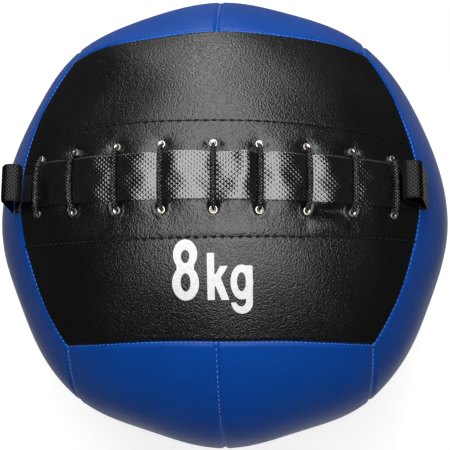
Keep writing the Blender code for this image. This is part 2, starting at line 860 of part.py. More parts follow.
def loop_outline():
    """The loop's outer and inner outlines, as (along, aside) from its hinge."""
    reach = LOOP_LENGTH - LOOP_CREST_RADIUS
    inside = LOOP_CREST_RADIUS - WEBBING_THICKNESS
    lean = math.asin((LOOP_CREST_RADIUS - NECK_RADIUS) / reach)
    inner_lean = math.asin(inside / (reach - LOOP_FORK))
    outer = []
    inner = []
    for step in range(CREST_STEPS + 1):
        turn = 2 * step / CREST_STEPS - 1
        angle = turn * (math.pi / 2 + lean)
        outer.append((reach + LOOP_CREST_RADIUS * math.cos(angle), LOOP_CREST_RADIUS * math.sin(angle)))
        angle = turn * (math.pi / 2 + inner_lean)
        inner.append((reach + inside * math.cos(angle), inside * math.sin(angle)))
    for step in range(NECK_STEPS + 1):
        turn = 2 * step / NECK_STEPS - 1
        angle = math.pi + turn * (math.pi / 2 - lean)
        outer.append((NECK_RADIUS * math.cos(angle), NECK_RADIUS * math.sin(angle)))
        inner.append((LOOP_FORK + abs(turn) * LOOP_FORK, -turn * LOOP_FORK * math.tan(inner_lean)))
    return outer, inner


def pull_loop(name, side, angle):
    """A folded loop of webbing that swings at its seam, with its origin on the fold."""
    seat = LoopSeat(side)
    along = seat.inward * math.cos(angle) + seat.out * math.sin(angle)
    aside = seat.out * math.cos(angle) - seat.inward * math.sin(angle)
    outer, inner = loop_outline()
    count = len(outer)
    points = []
    for level in (-WEBBING_WIDTH / 2, WEBBING_WIDTH / 2):
        for forward, away in outer + inner:
            points.append(along * forward + aside * away + seat.level * level)
    faces = []
    for k in range(count):
        following = (k + 1) % count
        low = (k, following, following + count, k + count)
        rim = (k, k + 2 * count, following + 2 * count, following)
        faces.append(low)
        faces.append(rim)
        faces.append(tuple(index + 2 * count for index in reversed(low)))
        faces.append(tuple(index + count for index in reversed(rim)))
    loop = add_solid(name, points, faces, webbing())
    loop.location = seat.hinge()
    return loop


def main():
    for thing in list(bpy.data.objects):
        bpy.data.objects.remove(thing)
    for way, half in ((1, "upper"), (-1, "lower")):
        drills = eyelet_drills("drills_" + half, way)
        cut(front_panel(way, "front_panel_" + half), drills)
        cut(eyelet_facing(way, "eyelet_facing_" + half), drills)
        foam_pad("foam_front_" + half, front_outer_grid(way))
        eyelets("eyelet_" + half, way)
    for side, hand in ((-1, "left"), (1, "right")):
        notch = tail_cutter("notch_" + hand, side)
        cut(leather_panel("belt_panel_" + hand, side_grid(side), blue_leather()), notch)
        cut(foam_pad("foam_belt_" + hand, side_grid(side)), notch)
        loop_tail("loop_tail_" + hand, side)
        for way, height in ((1, "top"), (-1, "bottom")):
            place = height + "_" + hand
            leather_panel("belt_panel_" + place, belt_grid(side, way), blue_leather())
            foam_pad("foam_belt_" + place, belt_grid(side, way))
    pull_loop("pull_loop_left", -1, LEFT_LOOP_ANGLE)
    pull_loop("pull_loop_right", 1, RIGHT_LOOP_ANGLE)
    leather_panel("back_panel", back_grid(), black_leather())
    foam_pad("foam_back", back_grid())
    closure_strip()
    closure_tongue()
    lace()
    route = lace_route()
    lace_knot("lace_knot_left", route[0], route[1])
    lace_knot("lace_knot_right", route[-1], route[-2])
    inner_liner()
    fill_half("fill_front", 1)
    fill_half("fill_back", -1)
    sand_bag_shape("sand_bag", SAND_BAG_RADIUS, material("bag_cloth", (0.35, 0.33, 0.30), 0.95))


main()
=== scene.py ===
"""A soft wall ball of 8 kg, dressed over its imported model.

The ball lies on its back, so its laced panel faces up. Metres, +Z up, in the model's frame.
"""

import math

import bmesh
import bpy
import numpy as np
from mathutils import Matrix, Vector


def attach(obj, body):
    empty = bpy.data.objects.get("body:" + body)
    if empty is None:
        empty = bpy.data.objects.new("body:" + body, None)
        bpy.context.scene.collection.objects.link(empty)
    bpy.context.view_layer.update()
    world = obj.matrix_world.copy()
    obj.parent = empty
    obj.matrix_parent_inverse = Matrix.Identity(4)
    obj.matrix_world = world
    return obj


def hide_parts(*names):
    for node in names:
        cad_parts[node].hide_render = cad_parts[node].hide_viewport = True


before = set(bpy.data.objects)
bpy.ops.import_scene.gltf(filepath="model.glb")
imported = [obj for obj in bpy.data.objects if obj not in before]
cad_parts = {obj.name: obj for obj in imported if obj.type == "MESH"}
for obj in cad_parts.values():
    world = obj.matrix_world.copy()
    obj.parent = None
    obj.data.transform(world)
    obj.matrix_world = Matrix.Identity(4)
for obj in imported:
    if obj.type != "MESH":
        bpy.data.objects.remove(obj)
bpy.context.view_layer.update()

# The camera looks down on the laced panel from five ball radii away through a long lens.
# Its three directions are those of the photograph: a little below the panel's middle.

BALL_RADIUS = 0.175
BALL_MIDDLE = (0.0, 0.0, 0.169116)
CAMERA_DISTANCE = 5 * BALL_RADIUS
CAMERA_RIGHT = Vector((0.9990, 0.0, -0.0436))
CAMERA_UP = Vector((0.0095, 0.9759, 0.2179))
CAMERA_BACK = Vector((0.0426, -0.2181, 0.9750))
LENS_MM = 87.2
SENSOR_MM = 36.0


def looking(right, up, back, place):
    """The matrix of a camera or a lamp that looks along minus back."""
    turned = Matrix((right, up, back)).transposed().to_4x4()
    return Matrix.Translation(place) @ turned


camera_data = bpy.data.cameras.new("camera")
camera_data.lens = LENS_MM
camera_data.sensor_width = SENSOR_MM
camera = bpy.data.objects.new("camera", camera_data)
bpy.context.scene.collection.objects.link(camera)
camera.matrix_world = looking(
    CAMERA_RIGHT, CAMERA_UP, CAMERA_BACK, Vector(BALL_MIDDLE) + CAMERA_BACK * CAMERA_DISTANCE
)
bpy.context.scene.camera = camera


# The laced front panel: two halves of black grained PVC leather, 2 mm thick, over foam.
# Each half is turned in and sewn to the blue belt, and its eyelets pull it into puckers.

RIPPLE_RISE = 0.0021
CORNER_RISE = 0.0016
RIDGE_BEARING = math.radians(50.0)
LEATHER_THICKNESS = 0.002
FIT_GAP = 0.0003
SEAM_PULL = 0.0014
SEAM_REACH = 0.0016
SEAM_ROLL = 0.00018
SEAM_SHARPNESS = 1.3
CONTACT_SOFTNESS = 0.002
PANEL_CORNER_SHARES = (0.612, 0.606)
PANEL_SIDE_SHARE = 0.816
PANEL_TOP_SHARE = 0.627
BELT_SEAM_SHARE = 0.6225
SEAM_STITCH_PITCH = 0.0034


def ball_radius(directions):
    """The outer radius along each direction: the belt stands proud at its seams."""
    x, y, z = np.moveaxis(directions, -1, 0)
    bearing = np.arctan2(np.abs(y), np.abs(x))
    low = bearing / RIDGE_BEARING * math.pi / 4
    high = math.pi / 2 - (math.pi / 2 - bearing) / (math.pi / 2 - RIDGE_BEARING) * math.pi / 4
    turned = np.where(bearing < RIDGE_BEARING, low, high)
    ripple = RIPPLE_RISE * np.cos(8 * turned) - CORNER_RISE * np.cos(4 * turned)
    return BALL_RADIUS + (1 - z**2) ** 2 * ripple


def skin(directions, rise=0.0):
    """Points at a rise above the ball's surface, flattened softly where the ball rests."""
    rise = np.broadcast_to(rise, directions.shape[:-1])
    points = BALL_MIDDLE + directions * (ball_radius(directions) + rise)[..., None]
    height = points[..., 2]
    soft = (height + np.sqrt(height**2 + CONTACT_SOFTNESS**2)) / 2
    resting = soft - np.minimum(rise, 0)
    points[..., 2] = np.where(directions[..., 2] < 0, np.maximum(height, resting), height)
    return points


def unit(vectors):
    return vectors / np.linalg.norm(vectors, axis=-1, keepdims=True)


def on_ball(x, y, side=1):
    """The direction of the ball's front or back over (x, y), in ball radii."""
    x, y = np.broadcast_arrays(np.asarray(x, float), np.asarray(y, float))
    return np.stack([x, y, side * np.sqrt(1 - x**2 - y**2)], axis=-1)


class SeamLine:
    """A sewn edge as an arc on the ball, from its start at share -1 to its end at share 1."""

    def __init__(self, start, middle, end):
        half = (end - start) / 2
        rise = middle - (start + end) / 2
        reach, height = np.linalg.norm(half), np.linalg.norm(rise)
        self.radius = (reach**2 + height**2) / (2 * height)
        self.outward, self.along = rise / height, half / reach
        self.centre = middle - self.outward * self.radius
        self.reach = math.atan2(reach, self.radius - height)
        self.normal = np.cross(self.along, self.outward)
        self.level = float(self.normal @ self.centre)

    def at(self, shares):
        angles = np.asarray(shares)[..., None] * self.reach
        turned = self.outward * np.cos(angles) + self.along * np.sin(angles)
        return unit(self.centre + turned * self.radius)

    def distance(self, directions):
        """How far each direction lies from the seam, in metres along the ball."""
        gap = np.arcsin(directions @ self.normal) - math.asin(self.level)
        return np.abs(gap) * BALL_RADIUS

    def run(self, directions):
        """How far along the seam each direction lies, in metres."""
        offset = directions - self.centre
        return np.arctan2(offset @ self.along, offset @ self.outward) * self.radius * BALL_RADIUS


def mirrored(direction):
    """The same place on the back of the ball."""
    return direction * np.array([1.0, 1.0, -1.0])


CORNERS = {
    (a, b): on_ball(a * PANEL_CORNER_SHARES[0], b * PANEL_CORNER_SHARES[1]) for a in (-1, 1) for b in (-1, 1)
}
SIDE_SEAMS = {a: SeamLine(CORNERS[a, -1], on_ball(a * PANEL_SIDE_SHARE, 0), CORNERS[a, 1]) for a in (-1, 1)}
END_SEAMS = {b: SeamLine(CORNERS[-1, b], on_ball(0, b * PANEL_TOP_SHARE), CORNERS[1, b]) for b in (-1, 1)}


def crossing_seam(a, b):
    """The belt's seam from the front to the back at a corner, or at the middle where a is 0."""
    front = CORNERS[a, b] if a else END_SEAMS[b].at(0.0)
    across = a * BELT_SEAM_SHARE
    return SeamLine(front, np.array([across, b * math.sqrt(1 - across**2), 0.0]), mirrored(front))


CROSSING_SEAMS = {(a, b): crossing_seam(a, b) for a in (-1, 0, 1) for b in (-1, 1)}


def seam_pull(directions, seams):
    """How far the leather dips into its seams, with a slight roll beside each stitch."""
    rise = np.zeros(directions.shape[:-1])
    for seam in seams:
        distance = seam.distance(directions)
        rise -= SEAM_PULL * np.exp(-((distance / SEAM_REACH) ** SEAM_SHARPNESS))
        rise += SEAM_ROLL * np.exp(-(((distance - 2 * SEAM_REACH) / SEAM_REACH) ** 2))
        pucker = np.cos(2 * math.pi * seam.run(directions) / SEAM_STITCH_PITCH)
        rise += SEAM_ROLL / 2 * pucker * np.exp(-(((distance - SEAM_REACH) / SEAM_REACH) ** 2))
    return rise


def sag(directions, height, wave):
    """The slow unevenness of leather over packed filling."""
    x, y, z = np.moveaxis(directions * BALL_RADIUS / wave, -1, 0)
    first = np.sin(5.1 * x + 2.3 * y + 0.7) * np.sin(4.3 * y - 1.9 * z + 1.9)
    second = np.sin(3.1 * x - 6.7 * y + 2.1) * np.cos(5.9 * z + 2.7 * x + 0.4)
    return height * (first + 0.6 * second)


# The mouth runs across the panel. A place on it is a share of its length and a height above its
# middle line, which bows. Nine eyelets a side stand along it, set by hand and so a little uneven.

MOUTH_RISES = (0.0015, -0.0062, -0.0020)
STRIP_WIDTH = 0.031
MOUTH_WIDTH = 0.021
FACING_WIDTHS = {-1: (0.0313, 0.0288, 0.0257), 1: (0.0260, 0.0282, 0.0248)}
EYELET_SPACES = (0.0065, 0.0045)
END_ANGLE = math.radians(44.8)
EYELET_SHARES = np.array([-1.03, -0.75, -0.49, -0.255, 0.0, 0.222, 0.46, 0.712, 0.99])
EYELETS_PER_ROW = len(EYELET_SHARES)
MOUTH_END = math.asin(PANEL_SIDE_SHARE) / END_ANGLE


def bowed(sizes, shares):
    """A size that bows along the mouth, from its left, middle and right sizes."""
    left, middle, right = sizes
    return middle + (right - left) / 2 * shares + ((right + left) / 2 - middle) * shares**2


def middle_rise(shares):
    """How high the middle line of the mouth runs."""
    return bowed(MOUTH_RISES, shares)


def spread(pair, shares):
    """A distance from the middle line that changes evenly toward the ends."""
    return pair[0] + (pair[1] - pair[0]) * np.minimum(shares**2, 1)


def lip_offset(shares):
    return np.full_like(shares, MOUTH_WIDTH / 2)


def eyelet_offset(shares):
    return STRIP_WIDTH / 2 + spread(EYELET_SPACES, shares)


def hem_offset(shares, way):
    """How far from the middle line the hem of the upper or the lower half is stitched."""
    return MOUTH_WIDTH / 2 + bowed(FACING_WIDTHS[way], np.clip(shares, -1, 1))


def mouth_directions(shares, offsets):
    """Directions at places along the mouth, at heights above its middle line."""
    up = (middle_rise(shares) + offsets) / BALL_RADIUS
    across = np.sqrt(1 - up**2)
    angle = shares * END_ANGLE
    return np.stack([across * np.sin(angle), up, across * np.cos(angle)], axis=-1)


def mouth_place(directions):
    """The share along the mouth and the height above its middle line of each direction."""
    shares = np.arctan2(directions[..., 0], directions[..., 2]) / END_ANGLE
    return shares, directions[..., 1] * BALL_RADIUS - middle_rise(shares)


def cell_place(shares):
    """How many cells of the lace lie to the left of each share, with half cells past the ends."""
    known = np.concatenate([[2 * EYELET_SHARES[0] - EYELET_SHARES[1]], EYELET_SHARES])
    known = np.append(known, 2 * EYELET_SHARES[-1] - EYELET_SHARES[-2])
    return np.interp(shares, known, np.arange(-1, EYELETS_PER_ROW + 1))


def bump_at(distance, width):
    return np.exp(-((distance / width) ** 2))


# The lace draws the leather into a dimple at each eyelet, with two tucks beside an upper one and
# a raised cup behind a lower one. One lower eyelet stands open over a hollow with a swelling below.

DIMPLE_DEPTH = 0.0016
DIMPLE_WIDTH = 0.0046
TUCK_DEPTH = 0.0012
TUCK_PLACE = 0.0042
TUCK_WIDTH = 0.0021
TUCK_TURNS = (1.45, -1.6)
TUCK_SPREAD = 0.30
LEFT_TUCK_SHARE = 0.8
CUP_RISE = 0.0009
CUP_RADIUS = 0.0048
CUP_SHIFT = 0.0018
CUP_WALL = 0.0012
CUP_END = -0.004
CUP_STRETCH = 0.8
CUP_DIMPLE_SHARE = 0.9
HOLLOW_PLACE = 0.0030
HOLLOW_WIDTHS = (0.0026, 0.0030)
FOLD_DEPTH = 0.00010
FOLD_PLACE = 0.011
FOLD_REACH = 0.005
FOLDS_ROUND = 5
PULL_REACH = 4 * DIMPLE_WIDTH
PULL_CHANGE = 0.3
PULL_PHASES = (12.9, 3.7)
FRONT_SAG = (0.0005, 0.075)
SCALLOP_RISE = 0.0010
LIP_REACH = 0.008
HEM_DIP = 0.0004
HEM_GROOVE = 0.0014
HEM_SWELLS = ((-0.0040, 0.0028, 0.5), (0.0035, 0.0022, 0.35))
OPEN_CELL_MIDDLE = 6.5
OPEN_HALF_SHARE = 0.47
OPEN_DEPTH = 0.0038
OPEN_PLACE = (-0.0205, 0.0044)
OPEN_SWELL = 0.0014
OPEN_SWELL_PLACE = (-0.0295, 0.0045)


def pull_at(x, y, side, number):
    """The leather round one eyelet: x along the row, y away from the strip."""
    far = np.hypot(x, y)
    turn = np.arctan2(x, -y)
    vary = 1 + PULL_CHANGE * math.sin(PULL_PHASES[0] * number + PULL_PHASES[1] * side)
    folds = np.cos(FOLDS_ROUND * turn + number) * bump_at(far - FOLD_PLACE, FOLD_REACH)
    folds = FOLD_DEPTH * folds * (y > 0)
    if side > 0:
        right, left = (bump_at(turn - tuck, TUCK_SPREAD) for tuck in TUCK_TURNS)
        tucks = TUCK_DEPTH * vary * bump_at(far - TUCK_PLACE, TUCK_WIDTH) * (right + LEFT_TUCK_SHARE * left)
        return folds - DIMPLE_DEPTH * bump_at(far, DIMPLE_WIDTH) - tucks
    around = np.hypot(x, CUP_STRETCH * (y + CUP_SHIFT))
    cup = CUP_RISE * vary * bump_at(around - CUP_RADIUS, CUP_WALL) * (y > CUP_END)
    hollow = bump_at(x, HOLLOW_WIDTHS[0]) * bump_at(y + HOLLOW_PLACE, HOLLOW_WIDTHS[1])
    dimple = DIMPLE_DEPTH * bump_at(around, CUP_DIMPLE_SHARE * DIMPLE_WIDTH)
    return folds + cup - dimple - TUCK_DEPTH * hollow


def front_rise(directions):
    """The shape of the black leather: eyelet dimples, tucks, scallops, hems and seams."""
    shares, height = mouth_place(directions)
    along = shares * END_ANGLE * BALL_RADIUS
    rise = seam_pull(directions, list(SIDE_SEAMS.values()) + list(END_SEAMS.values()))
    rise += sag(directions, *FRONT_SAG)
    cell = np.cos(2 * math.pi * cell_place(shares))
    lip = bump_at(np.abs(height) - STRIP_WIDTH / 2, LIP_REACH)
    rise += SCALLOP_RISE * (0.5 - cell) * lip * (np.abs(shares) < 1)
    hem = np.abs(height) - np.where(height > 0, hem_offset(shares, 1), hem_offset(shares, -1))
    rise -= HEM_DIP * bump_at(hem, HEM_GROOVE)
    for place, reach, swell in HEM_SWELLS:
        rise += swell * HEM_DIP * bump_at(hem - place, reach)
    for number, share in enumerate(EYELET_SHARES):
        for side in (-1, 1):
            x = along - share * END_ANGLE * BALL_RADIUS
            y = (height - side * eyelet_offset(np.array(share))) * side
            near = (np.sign(height) == side) & (np.hypot(x, y) < PULL_REACH)
            rise += np.where(near, pull_at(x, y, side, number), 0)
    gape = np.clip(1 - ((cell_place(shares) - OPEN_CELL_MIDDLE) / OPEN_HALF_SHARE) ** 2, 0, 1)
    rise -= OPEN_DEPTH * gape * bump_at(height - OPEN_PLACE[0], OPEN_PLACE[1])
    rise += OPEN_SWELL * gape * bump_at(height - OPEN_SWELL_PLACE[0], OPEN_SWELL_PLACE[1])
    return rise


GRADING_SAMPLES = 4001


def graded(count, ends, fineness):
    """Shares from 0 to 1 whose steps shorten near each listed place, (share, reach)."""
    fine = np.linspace(0, 1, GRADING_SAMPLES)
    density = 1 + sum(fineness * np.exp(-np.abs(fine - place) / reach) for place, reach in ends)
    total = np.concatenate([[0], np.cumsum((density[1:] + density[:-1]) / 2)])
    return np.interp(np.linspace(0, total[-1], count), total, fine)


def patch(bottom, top, left, right, across, upward):
    """Directions between four lines that share their ends, row by row from bottom to top."""
    u, v = across[None, :, None], upward[:, None, None]
    ruled = bottom[None] * (1 - v) + top[None] * v + left[:, None] * (1 - u) + right[:, None] * u
    low = bottom[0] * (1 - u) + bottom[-1] * u
    high = top[0] * (1 - u) + top[-1] * u
    return unit(ruled - low * (1 - v) - high * v)


def shell_mesh(name, outer, inner):
    """A closed mesh between two grids of points, with its faces turned outward."""
    rows, columns = outer.shape[:2]
    count = rows * columns
    index = np.arange(count).reshape(rows, columns)
    quads = np.stack([index[:-1, :-1], index[:-1, 1:], index[1:, 1:], index[1:, :-1]], -1).reshape(-1, 4)
    ring = np.concatenate([index[0, :], index[1:, -1], index[-1, -2::-1], index[-2:0:-1, 0]])
    after = np.roll(ring, -1)
    walls = np.stack([after, ring, ring + count, after + count], -1)
    faces = np.concatenate([quads, quads[:, ::-1] + count, walls])
    points = np.concatenate([outer.reshape(-1, 3), inner.reshape(-1, 3)])
    mesh = bpy.data.meshes.new(name)
    mesh.from_pydata(points.tolist(), [], faces.tolist())
    solid = bmesh.new()
    solid.from_mesh(mesh)
    bmesh.ops.recalc_face_normals(solid, faces=solid.faces)
    solid.to_mesh(mesh)
    solid.free()
    mesh.shade_smooth()
    mesh.set_sharp_from_angle(angle=math.radians(50))
    return mesh


def add_piece(name, mesh, finish, body="root", replaced=()):
    """Put a mesh into the scene as a piece that rides on a body."""
    mesh.name = name
    mesh.materials.clear()
    mesh.materials.append(finish)
    piece = bpy.data.objects.new(name, mesh)
    bpy.context.scene.collection.objects.link(piece)
    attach(piece, body)
    if replaced:
        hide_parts(*replaced)
    return piece


def node(tree, kind, links=None, stops=(), **settings):
    """Add a node with its settings, ramp stops, socket values and links, and give it back."""
    made = tree.nodes.new(kind)
    for name, value in settings.items():
        setattr(made, name, value)
    for number, (place, colour) in enumerate(stops):
        elements = made.color_ramp.elements
        element = elements[number] if number < len(elements) else elements.new(place)
        element.position, element.color = place, colour
    for socket, value in (links or {}).items():
        target = made.inputs[socket]
        if isinstance(value, bpy.types.NodeSocket):
            tree.links.new(value, target)
        else:
            target.default_value = value
    return made


def hex_colour(text):
    """An sRGB hex colour as linear numbers."""
    parts = [int(text[k : k + 2], 16) / 255 for k in (1, 3, 5)]
    return (*[c / 12.92 if c <= 0.04045 else ((c + 0.055) / 1.055) ** 2.4 for c in parts], 1.0)


def new_finish(name):
    """A material with nothing but its shader, which is given back with its tree."""
    finish = bpy.data.materials.new(name)
    finish.use_nodes = True
    tree = finish.node_tree
    return finish, tree, tree.nodes["Principled BSDF"]


# Black PVC leather, calendered and embossed: small rounded cells parted by fine wrinkles. The
# emboss breaks up its broad sheen into a grey glitter, and the wrinkles stay nearly black; their
# colour is also painted darker, as painted shade, over a random mottling. Real cells are about
# 0.6 mm wide, too fine to show here, so they are drawn at twice that.

GRAIN_SIZE = 0.0012
GRAIN_DEPTH = 0.00030
GRAIN_DRIFT = 2.2
GRAIN_SMOOTHNESS = 0.6
DRIFT_SHARE = 0.35
PORE_SIZE = 0.0007
PORE_SHARE = 0.35
MOTTLE_SIZE = 0.0454545
GLOSS_CHANGE = 0.05
HAZE_SPREAD = 0.35


def grained_leather(name, dark, light, roughness, gloss_level, grain_size, grain_depth, haze=0.0):
    """Embossed leather: cells bent by a slow drift, over fine pores and slower mottling, with its colour
    painted darker in the wrinkles as painted shade.
    """
    finish, tree, shader = new_finish(name)
    place = node(tree, "ShaderNodeTexCoord").outputs["Object"]
    drift_scale = DRIFT_SHARE / grain_size
    drift = node(tree, "ShaderNodeTexNoise", {"Vector": place, "Scale": drift_scale, "Detail": 3.0})
    bent = node(
        tree,
        "ShaderNodeVectorMath",
        {0: drift.outputs["Color"], 1: (GRAIN_DRIFT * grain_size,) * 3},
        operation="MULTIPLY",
    )
    moved = node(tree, "ShaderNodeVectorMath", {0: place, 1: bent.outputs[0]}, operation="ADD")
    cells = node(
        tree,
        "ShaderNodeTexVoronoi",
        {"Vector": moved.outputs[0], "Scale": 1 / grain_size, "Smoothness": GRAIN_SMOOTHNESS},
        feature="SMOOTH_F1",
    )
    pores = node(tree, "ShaderNodeTexNoise", {"Vector": place, "Scale": 1 / PORE_SIZE, "Detail": 2.0})
    fine = node(tree, "ShaderNodeMath", {0: pores.outputs["Fac"], 1: PORE_SHARE}, operation="MULTIPLY")
    distance = cells.outputs["Distance"]
    grain = node(tree, "ShaderNodeMath", {0: fine.outputs[0], 1: distance}, operation="SUBTRACT")
    relief = {"Height": grain.outputs[0], "Distance": grain_depth, "Strength": 1.0}
    bump = node(tree, "ShaderNodeBump", relief)
    slow = node(tree, "ShaderNodeTexNoise", {"Vector": place, "Scale": 1 / MOTTLE_SIZE, "Detail": 4.0})
    # The colour is mottled at random and darker toward the wrinkles: painted shade in the wrinkles, lighter
    # cell tops.
    mottle_and_wrinkle_shade = node(tree, "ShaderNodeMath", {0: slow.outputs["Fac"], 1: distance}, operation="SUBTRACT")
    tone = node(tree, "ShaderNodeValToRGB", {"Fac": mottle_and_wrinkle_shade.outputs[0]}, stops=[(0.0, dark), (0.6, light)])
    ends = {"To Min": roughness - GLOSS_CHANGE, "To Max": roughness + GLOSS_CHANGE}
    gloss = node(
        tree, "ShaderNodeMapRange", {"Value": slow.outputs["Fac"], "From Min": 0.3, "From Max": 0.7, **ends}
    )
    tree.links.new(tone.outputs["Color"], shader.inputs["Base Color"])
    tree.links.new(gloss.outputs[0], shader.inputs["Roughness"])
    tree.links.new(bump.outputs["Normal"], shader.inputs["Normal"])
    shader.inputs["Specular IOR Level"].default_value = gloss_level
    shader.inputs["Sheen Weight"].default_value = haze
    shader.inputs["Sheen Roughness"].default_value = HAZE_SPREAD
    return finish


black_leather = grained_leather(
    "embossed_black_pvc_leather",
    hex_colour("#060607"),
    hex_colour("#0c0d0e"),
    roughness=0.33,
    gloss_level=1.0,
    grain_size=GRAIN_SIZE,
    grain_depth=GRAIN_DEPTH,
)

FRONT_COLUMNS = 380
FRONT_ROWS = 120
FRONT_END_GRADING = ((0, 0.012), (1, 0.012))
FRONT_END_FINENESS = 2.2
EYELET_ROW_GRADING = ((0.12, 0.14), (1, 0.030))
EYELET_ROW_FINENESS = 2.0


def front_half(name, way):
    """Half of the laced panel, from the lip of the mouth to its outer seam."""
    across = graded(FRONT_COLUMNS, FRONT_END_GRADING, FRONT_END_FINENESS)
    upward = graded(FRONT_ROWS, EYELET_ROW_GRADING, EYELET_ROW_FINENESS)
    edges = {}
    for side, seam in SIDE_SEAMS.items():
        start = lip_height(side, way)
        lowest = math.asin(start / seam.radius) / seam.reach
        edges[side] = seam.at(lowest + (way - lowest) * upward)
    lip = mouth_directions((2 * across - 1) * MOUTH_END, way * lip_offset(across))
    lip = eased_ends(lip, edges[-1][0], edges[1][0], across)
    seam = END_SEAMS[way].at(2 * across - 1)
    directions = patch(lip, seam, edges[-1], edges[1], across, upward)
    rise = front_rise(directions)
    return shell_mesh(name, skin(directions, rise), skin(directions, rise - LEATHER_THICKNESS))


def lip_height(side, way):
    """The height, in ball radii, at which a lip of the mouth meets a side seam."""
    share = np.array(side * MOUTH_END)
    return float(middle_rise(share) + way * MOUTH_WIDTH / 2) / BALL_RADIUS


def eased_ends(line, start, end, shares):
    """A line of directions moved so that its ends meet two places."""
    shift = (start - line[0]) * (1 - shares)[:, None] + (end - line[-1]) * shares[:, None]
    return unit(line + shift)


for side_name, way in (("upper", 1), ("lower", -1)):
    panel = add_piece(
        f"leather_front_{side_name}",
        front_half(f"leather_front_{side_name}", way),
        black_leather,
        replaced=[f"front_panel_{side_name}"],
    )


# The belt: six panels of smooth blue PVC leather round the ball's edge, sewn edge to edge.
# Its emboss is shallow and hardly shows, so it has a soft satin sheen and a faint haze that
# pales it toward the outline. The emboss is drawn at twice its real 0.5 mm.

BELT_COLUMNS = 120
SIDE_ROWS = 110
BELT_ROWS = 110
BLUE_GRAIN_SIZE = 0.0011
BLUE_GRAIN_DEPTH = 0.00008
BELT_SAG = (0.0004, 0.09)
EDGE_GRADING = ((0, 0.035), (1, 0.035))
EDGE_FINENESS = 3.0

blue_leather = grained_leather(
    "embossed_blue_pvc_leather",
    hex_colour("#0448a6"),
    hex_colour("#0458b8"),
    roughness=0.40,
    gloss_level=0.26,
    grain_size=BLUE_GRAIN_SIZE,
    grain_depth=BLUE_GRAIN_DEPTH,
    haze=0.15,
)


def belt_shell(name, directions, seams):
    """A panel of the belt from its directions and the seams round it."""
    rise = seam_pull(directions, seams) + sag(directions, *BELT_SAG)
    inner = skin(directions, np.minimum(rise, 0) - LEATHER_THICKNESS)
    return shell_mesh(name, skin(directions, rise), inner)


def back_of(seam):
    """The seam at the same place on the back of the ball."""
    return SeamLine(mirrored(seam.at(-1.0)), mirrored(seam.at(0.0)), mirrored(seam.at(1.0)))


BACK_SIDE_SEAMS = {a: back_of(seam) for a, seam in SIDE_SEAMS.items()}
BACK_END_SEAMS = {b: back_of(seam) for b, seam in END_SEAMS.items()}

round_shares = graded(BELT_COLUMNS, EDGE_GRADING, EDGE_FINENESS)
for side, hand in ((-1, "left"), (1, "right")):
    level = graded(SIDE_ROWS, EDGE_GRADING, EDGE_FINENESS)
    front = SIDE_SEAMS[side].at(2 * level - 1)
    low = CROSSING_SEAMS[side, -1].at(2 * round_shares - 1)
    high = CROSSING_SEAMS[side, 1].at(2 * round_shares - 1)
    directions = patch(low, high, front, mirrored(front), round_shares, level)
    seams = [SIDE_SEAMS[side], BACK_SIDE_SEAMS[side], CROSSING_SEAMS[side, -1], CROSSING_SEAMS[side, 1]]
    name = f"leather_belt_{hand}"
    mesh = belt_shell(name, directions, seams)
    panel = add_piece(name, mesh, blue_leather, replaced=[f"belt_panel_{hand}"])
    for way, height in ((1, "top"), (-1, "bottom")):
        level = graded(BELT_ROWS, EDGE_GRADING, EDGE_FINENESS)
        front = END_SEAMS[way].at(side * level)
        low = CROSSING_SEAMS[0, way].at(2 * round_shares - 1)
        high = CROSSING_SEAMS[side, way].at(2 * round_shares - 1)
        directions = patch(low, high, front, mirrored(front), round_shares, level)
        seams = [END_SEAMS[way], BACK_END_SEAMS[way], CROSSING_SEAMS[0, way], CROSSING_SEAMS[side, way]]
        name = f"leather_belt_{height}_{hand}"
        mesh = belt_shell(name, directions, seams)
        panel = add_piece(
            name, mesh, blue_leather, replaced=[f"belt_panel_{height}_{hand}"]
        )


# The back panel: one piece of the black leather, of the front panel's outline.
# The ball rests on it, so its middle is pressed flat.

BACK_COLUMNS = 180
BACK_ROWS = 140
BACK_GRADING = ((0, 0.02), (1, 0.02))
BACK_SAG = (0.0005, 0.08)

across = graded(BACK_COLUMNS, BACK_GRADING, EDGE_FINENESS)
upward = graded(BACK_ROWS, BACK_GRADING, EDGE_FINENESS)
directions = patch(
    BACK_END_SEAMS[-1].at(2 * across - 1),
    BACK_END_SEAMS[1].at(2 * across - 1),
    BACK_SIDE_SEAMS[-1].at(2 * upward - 1),
    BACK_SIDE_SEAMS[1].at(2 * upward - 1),
    across,
    upward,
)
rise = seam_pull(directions, list(BACK_SIDE_SEAMS.values()) + list(BACK_END_SEAMS.values()))
rise += sag(directions, *BACK_SAG)
inner = skin(directions, np.minimum(rise, 0) - LEATHER_THICKNESS)
mesh = shell_mesh("leather_back", skin(directions, rise), inner)
panel = add_piece("leather_back", mesh, black_leather, replaced=["back_panel"])


# Behind each lip lies the hem: a second layer of the leather, doubled under the eyelets and
# stitched through with black thread along its far edge.

FACING_THICKNESS = 0.0012
SEAM_BAND = 0.005
HEM_COLUMNS = 240
HEM_ROWS = 36
HEM_EDGE_SHARES = (0.03, 0.97)
THREAD_RADIUS = 0.00034
HEM_STITCH_RADII = (0.00056, 0.00092)
HEM_STITCH_LENGTH = 0.0034
HEM_STITCH_PITCH = 0.0057
HEM_STITCH_LIFT_SHARE = 0.6
HEM_THREAD_STEP = 0.0012
HEM_THREAD_SIDES = 6
HEM_THREAD_LIFT_SHARE = 0.1
HEM_LINE_SHARE = 0.985
HEM_LINE_POINTS = 600

